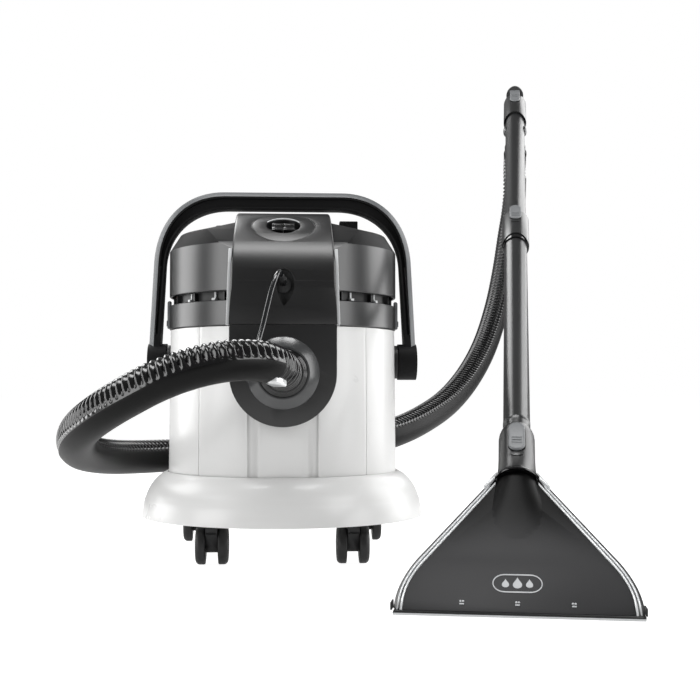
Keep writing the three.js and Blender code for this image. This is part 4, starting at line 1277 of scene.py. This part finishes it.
        y = 24.5
        bar = rod(4, (-78, y, 78), (78, y, 78), 40)
        nozzles, saddles = [], [block((x - 4, 19.4, 73), (x + 4, y + 1, 83)) for x in (-70, -28, 28, 70)]
        for x in (-55, 0, 55):
            tip = turned([(0, 0), (3.6, 0), (3.6, 4), (2.7, 4.6), (2.7, 8), (1.8, 9), (0, 9)], 32)
            nozzles.append(between(tip, (x, y, 78), (x, y + 8, 74)))
        piece("spray_bar_pipe", join(bar, *nozzles, *saddles), inner_plastic(), "floor_tool", ["spray_bar"],
              place=LEANED, edge=0.4, segments=2)
        slide_button("tool_button", 18.6, 48, 257, 24.3, 3.2)
        return {"FINISHED"}


class CLEANER_OT_tubes(bpy.types.Operator):
    """Builds the two tubes with their couplings and release buttons"""
    bl_idname = "cleaner.tubes"
    bl_label = "Tubes"

    def execute(self, context):
        lower = along_wand([
            (13.5, 262), (15.1, 262), (15.75, 263), (15.9, 300), (15.9, 301), (16.3, 302), (16.3, 306),
            (15.95, 307), (16.6, 716), (16.75, 748), (16.2, 750), (13.5, 750)])
        piece("lower_tube_skin", lower, grey_band(), "lower_tube", ["lower_tube"],
              place=LEANED, edge=0)
        upper = along_wand([
            (17.2, 720), (19.2, 720), (20, 721), (20, 798), (19.4, 801), (17.4, 806), (16.2, 808),
            (16.2, 811), (15.8, 812), (16.6, 1150), (16.75, 1184), (16.2, 1185), (13.5, 1185), (13.5, 760),
            (17.2, 752)])
        pocket = from_above(pill(18.4, 40.8, 791), 18.2)
        moat = cut(from_above(pill(24.4, 52, 788), 18.7), from_above(pill(21.6, 49, 788), 6, -31))
        body = cut(upper, pocket, moat, collar_cut(720))
        piece("upper_tube_skin", body, grey_band(), "machine", ["upper_tube"],
              place=LEANED, edge=0.35, segments=2)
        inner_ring = common(along_wand([(17.0, 721), (18.6, 721), (18.6, 760), (17.0, 760)]),
                            block((-30, -40, 715), (30, 6, 765)))
        piece("upper_tube_seal", inner_ring, black_gloss(), "machine", place=LEANED,
              edge=0)
        bumps = [common(ball(1, (side * 16.2, WAND_AXIS, 1122), (4.2, 8, 13)),
                        block((side * 23 - 7.4, -10, 1100), (side * 23 + 7.4, 22, 1150))) for side in (-1, 1)]
        piece("upper_tube_lugs", bundle(*bumps), grey_band(), "machine",
              place=LEANED, edge=0)
        slide_button("tube_button", 17.6, 40, 791, 22.6, 2.2)
        return {"FINISHED"}


GRIP_LINE = [(0, 984, 764.5), (0, 1040, 779.5), (0, 1090, 781), (0, 1140, 768), (0, 1190, 741),
             (0, 1218, 724.5)]
LEVER = Vector((0, 1060, 756.5))  # the spray lever's pin
LEVER_OPEN = math.radians(-9)


class CLEANER_OT_grip(bpy.types.Operator):
    """Builds the wand's grip: its coupling, soft hand part, spray lever and the hose's end collar"""
    bl_idname = "cleaner.grip"
    bl_label = "Grip"

    def execute(self, context):
        socket = along_wand([(0, 1152), (19.2, 1152), (20, 1153), (20, 1236), (19.2, 1241), (17.6, 1248),
                             (17, 1250), (0, 1250)])
        bore = along_wand([(0, 1147), (17.2, 1147), (17.2, 1188), (0, 1188)], 64)
        pocket = from_above(pill(18.4, 60.8, 1234), 18.2)
        socket = cut(socket, bore, pocket, collar_cut(1152))
        moved(socket, turn=LEAN_TURN)
        line = smooth_line(GRIP_LINE, 2.5)[0]
        last = len(line) - 1
        core = skin_along(line, Vector((0, 0, -1)), lambda i, a: 16.4 - 1.2 * abs(math.sin(a)), 40)
        cheeks = [rounded(block((x - 1.7, LEVER.y - 7, LEVER.z - 6), (x + 1.7, LEVER.y + 7, LEVER.z + 12)), 3,
                          lambda middle, way: middle.z < LEVER.z - 5.5 and abs(way.x) > 0.9)
                  for x in (-10, 10)]
        pin = rod(2, LEVER - Vector((12.4, 0, 0)), LEVER + Vector((12.4, 0, 0)), 32)
        whole = join(socket, core, *cheeks, pin)
        piece("grip_body", whole, grey_band(), "machine", ["grip"], place=WAND_FRAME,
              edge=0.5, segments=2)

        first, final = round(0.2 * last), round(0.86 * last)

        def hand(i, a):
            run = min(1.0, i / 5, (final - first - i) / 5)
            finger = 0.9 * max(0.0, math.cos(a)) * math.cos(math.tau * i * 2.5 / 23)
            return 15.6 + 1.5 * math.sqrt(max(0.0, run)) - 1.2 * abs(math.sin(a)) + finger * run * 0.6
        sleeve = skin_along(line[first:final + 1], Vector((0, 0, -1)), hand, 40)
        lever_room = block((-9.5, 1050, 700), (9.5, 1156, 764.6))
        grooves = [between(turned([(17.0, 0), (19, -0.8), (19, 0.8)], 40), line[k], line[k + 1])
                   for k in range(first + 6, final - 4, 4)]
        piece("grip_sleeve", cut(sleeve, *grooves, lever_room), tyre_rubber(), "machine",
              place=WAND_FRAME, edge=0)

        side = [(1055, 761.5), ((1062, 763), (1078, 763), (1092, 762.5)),
                ((1106, 760), (1118, 756), (1128, 752)), ((1139, 746), (1149, 739), (1150, 737)),
                ((1151, 732), (1148, 729), (1144, 730)), ((1132, 735), (1122, 739), (1112, 743)),
                ((1100, 747), (1088, 750), (1078, 751)), (1056, 750)]
        lever = pushed(round_points(side, 8), "x", -8, 8)
        lever = rounded(lever, 2.2, lambda middle, way: abs(middle.x) > 7.9 and middle.z < 760)
        lines = [block((-6, y, z - 1.2), (6, y + 1.4, z + 0.9))
                 for y, z in ((1118, 740.6), (1124, 738), (1130, 735.6))]
        lever = cut(lever, rod(2.3, LEVER - Vector((20, 0, 0)), LEVER + Vector((20, 0, 0)), 32), *lines)
        piece("spray_lever_blade", moved(lever, turn=LEVER_OPEN, about=LEVER), mid_grey(), "spray_lever",
              ["spray_lever"], place=WAND_FRAME, edge=0.4, segments=2)

        collar = turned([(0, 0), (18.5, 0), (19.4, 1), (19.4, 6), (20.6, 7.4), (21, 9), (21, 12),
                         (20.2, 12.6), (20.2, 14.2), (21, 14.8), (21, 17.4), (20.2, 18), (20.2, 19.6),
                         (21, 20.2), (21, 26), (20.2, 27.2), (0, 27.2)], 72)
        piece("hose_end_collar", between(collar, (0, 1218.6, 724.1), (0, 1242, 710.3)), black_gloss(),
              "hose_end", ["hose_end"], place=WAND_FRAME, edge=0.3, segments=2)
        slide_button("grip_button", 17.6, 60, 1234, 22.6, 2.2)
        return {"FINISHED"}


class CLEANER_OT_small_parts(bpy.types.Operator):
    """Builds the cord hook and the head's side latches"""
    bl_idname = "cleaner.small_parts"
    bl_label = "Small parts"

    def execute(self, context):
        post = block((82.5, 25, 436), (103.5, 35, 454))
        cap = rounded(block((80, 23, 452), (106, 37, 464)), 1.6, lambda middle, way: middle.z > 462)
        slots = [block((x, 20, 457), (x + 1.4, 24.4, 465)) for x in (86, 92, 98)]
        piece("cord_hook_block", cut(join(post, cap), hull(GAP), *slots), black_matt(), "machine",
              ["cord_hook"], edge=0.5)
        latches = []
        for side in (-1, 1):
            low, high = sorted((side * 155.6, side * 160))
            blade = rounded(block((low, -8, 308), (high, 8, 346)), 3,
                            lambda middle, way: abs(middle.x) > 159.8 and middle.z > 330)
            low, high = sorted((side * 158, side * 161.4))
            latches.append(join(blade, block((low, -5, 311), (high, 5, 319))))
        piece("head_latches", bundle(*latches), mid_grey(), "machine", edge=0.6)
        return {"FINISHED"}


class CLEANER_OT_finish_nodes(bpy.types.Operator):
    """Gives the pieces that stay as the model has them their materials"""
    bl_idname = "cleaner.finish_nodes"
    bl_label = "Kept pieces"

    def execute(self, context):
        looks = {
            "fan_housing": inner_plastic, "water_pump": inner_plastic, "float_cage": inner_plastic,
            "intake_elbow": inner_plastic, "foam_filter": foam, "vacuum_motor": sheet_metal,
            "impeller": sheet_metal, "float_ball": light_trim, "cord_gland": tyre_rubber,
            "tank_valve": inner_plastic,
        }
        for name, look in looks.items():
            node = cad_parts[name]
            node.data.materials.clear()
            node.data.materials.append(look())
        return {"FINISHED"}


class CLEANER_PT_panel(bpy.types.Panel):
    """Lists the pieces of the carpet cleaner"""
    bl_label = "Carpet cleaner"
    bl_idname = "CLEANER_PT_panel"
    bl_space_type = "VIEW_3D"
    bl_region_type = "UI"
    bl_category = "Carpet cleaner"

    def draw(self, context):
        for operator in OPERATORS:
            self.layout.operator(operator.bl_idname)
        for settings in [getattr(context.scene, name) for name in GROUPS]:
            for name in settings.bl_rna.properties.keys():
                if name not in ("rna_type", "name"):
                    self.layout.prop(settings, name)


OPERATORS = (
    CLEANER_OT_stage, CLEANER_OT_chassis, CLEANER_OT_tub, CLEANER_OT_water_tank, CLEANER_OT_head,
    CLEANER_OT_front_cover, CLEANER_OT_port, CLEANER_OT_carry_handle, CLEANER_OT_casters,
    CLEANER_OT_suction_hose, CLEANER_OT_spray_hose, CLEANER_OT_floor_tool, CLEANER_OT_tubes, CLEANER_OT_grip,
    CLEANER_OT_small_parts, CLEANER_OT_finish_nodes,
)
GROUPS = {"cleaner_finish": FinishSettings, "cleaner_stage": StageSettings, "cleaner_tub": TubSettings,
          "cleaner_hose": HoseSettings, "cleaner_wand": WandSettings}


def register():
    for name, group in GROUPS.items():
        bpy.utils.register_class(group)
        setattr(bpy.types.Scene, name, bpy.props.PointerProperty(type=group))
    for cls in OPERATORS + (CLEANER_PT_panel,):
        bpy.utils.register_class(cls)


def unregister():
    for cls in reversed(OPERATORS + (CLEANER_PT_panel,)):
        bpy.utils.unregister_class(cls)
    for name, group in GROUPS.items():
        delattr(bpy.types.Scene, name)
        bpy.utils.unregister_class(group)


def main():
    register()
    bpy.ops.cleaner.stage()
    bpy.ops.cleaner.chassis()
    bpy.ops.cleaner.tub()
    bpy.ops.cleaner.water_tank()
    bpy.ops.cleaner.head()
    bpy.ops.cleaner.front_cover()
    bpy.ops.cleaner.port()
    bpy.ops.cleaner.carry_handle()
    bpy.ops.cleaner.casters()
    bpy.ops.cleaner.suction_hose()
    bpy.ops.cleaner.spray_hose()
    bpy.ops.cleaner.floor_tool()
    bpy.ops.cleaner.tubes()
    bpy.ops.cleaner.grip()
    bpy.ops.cleaner.small_parts()
    bpy.ops.cleaner.finish_nodes()


if __name__ == "__main__":
    main()
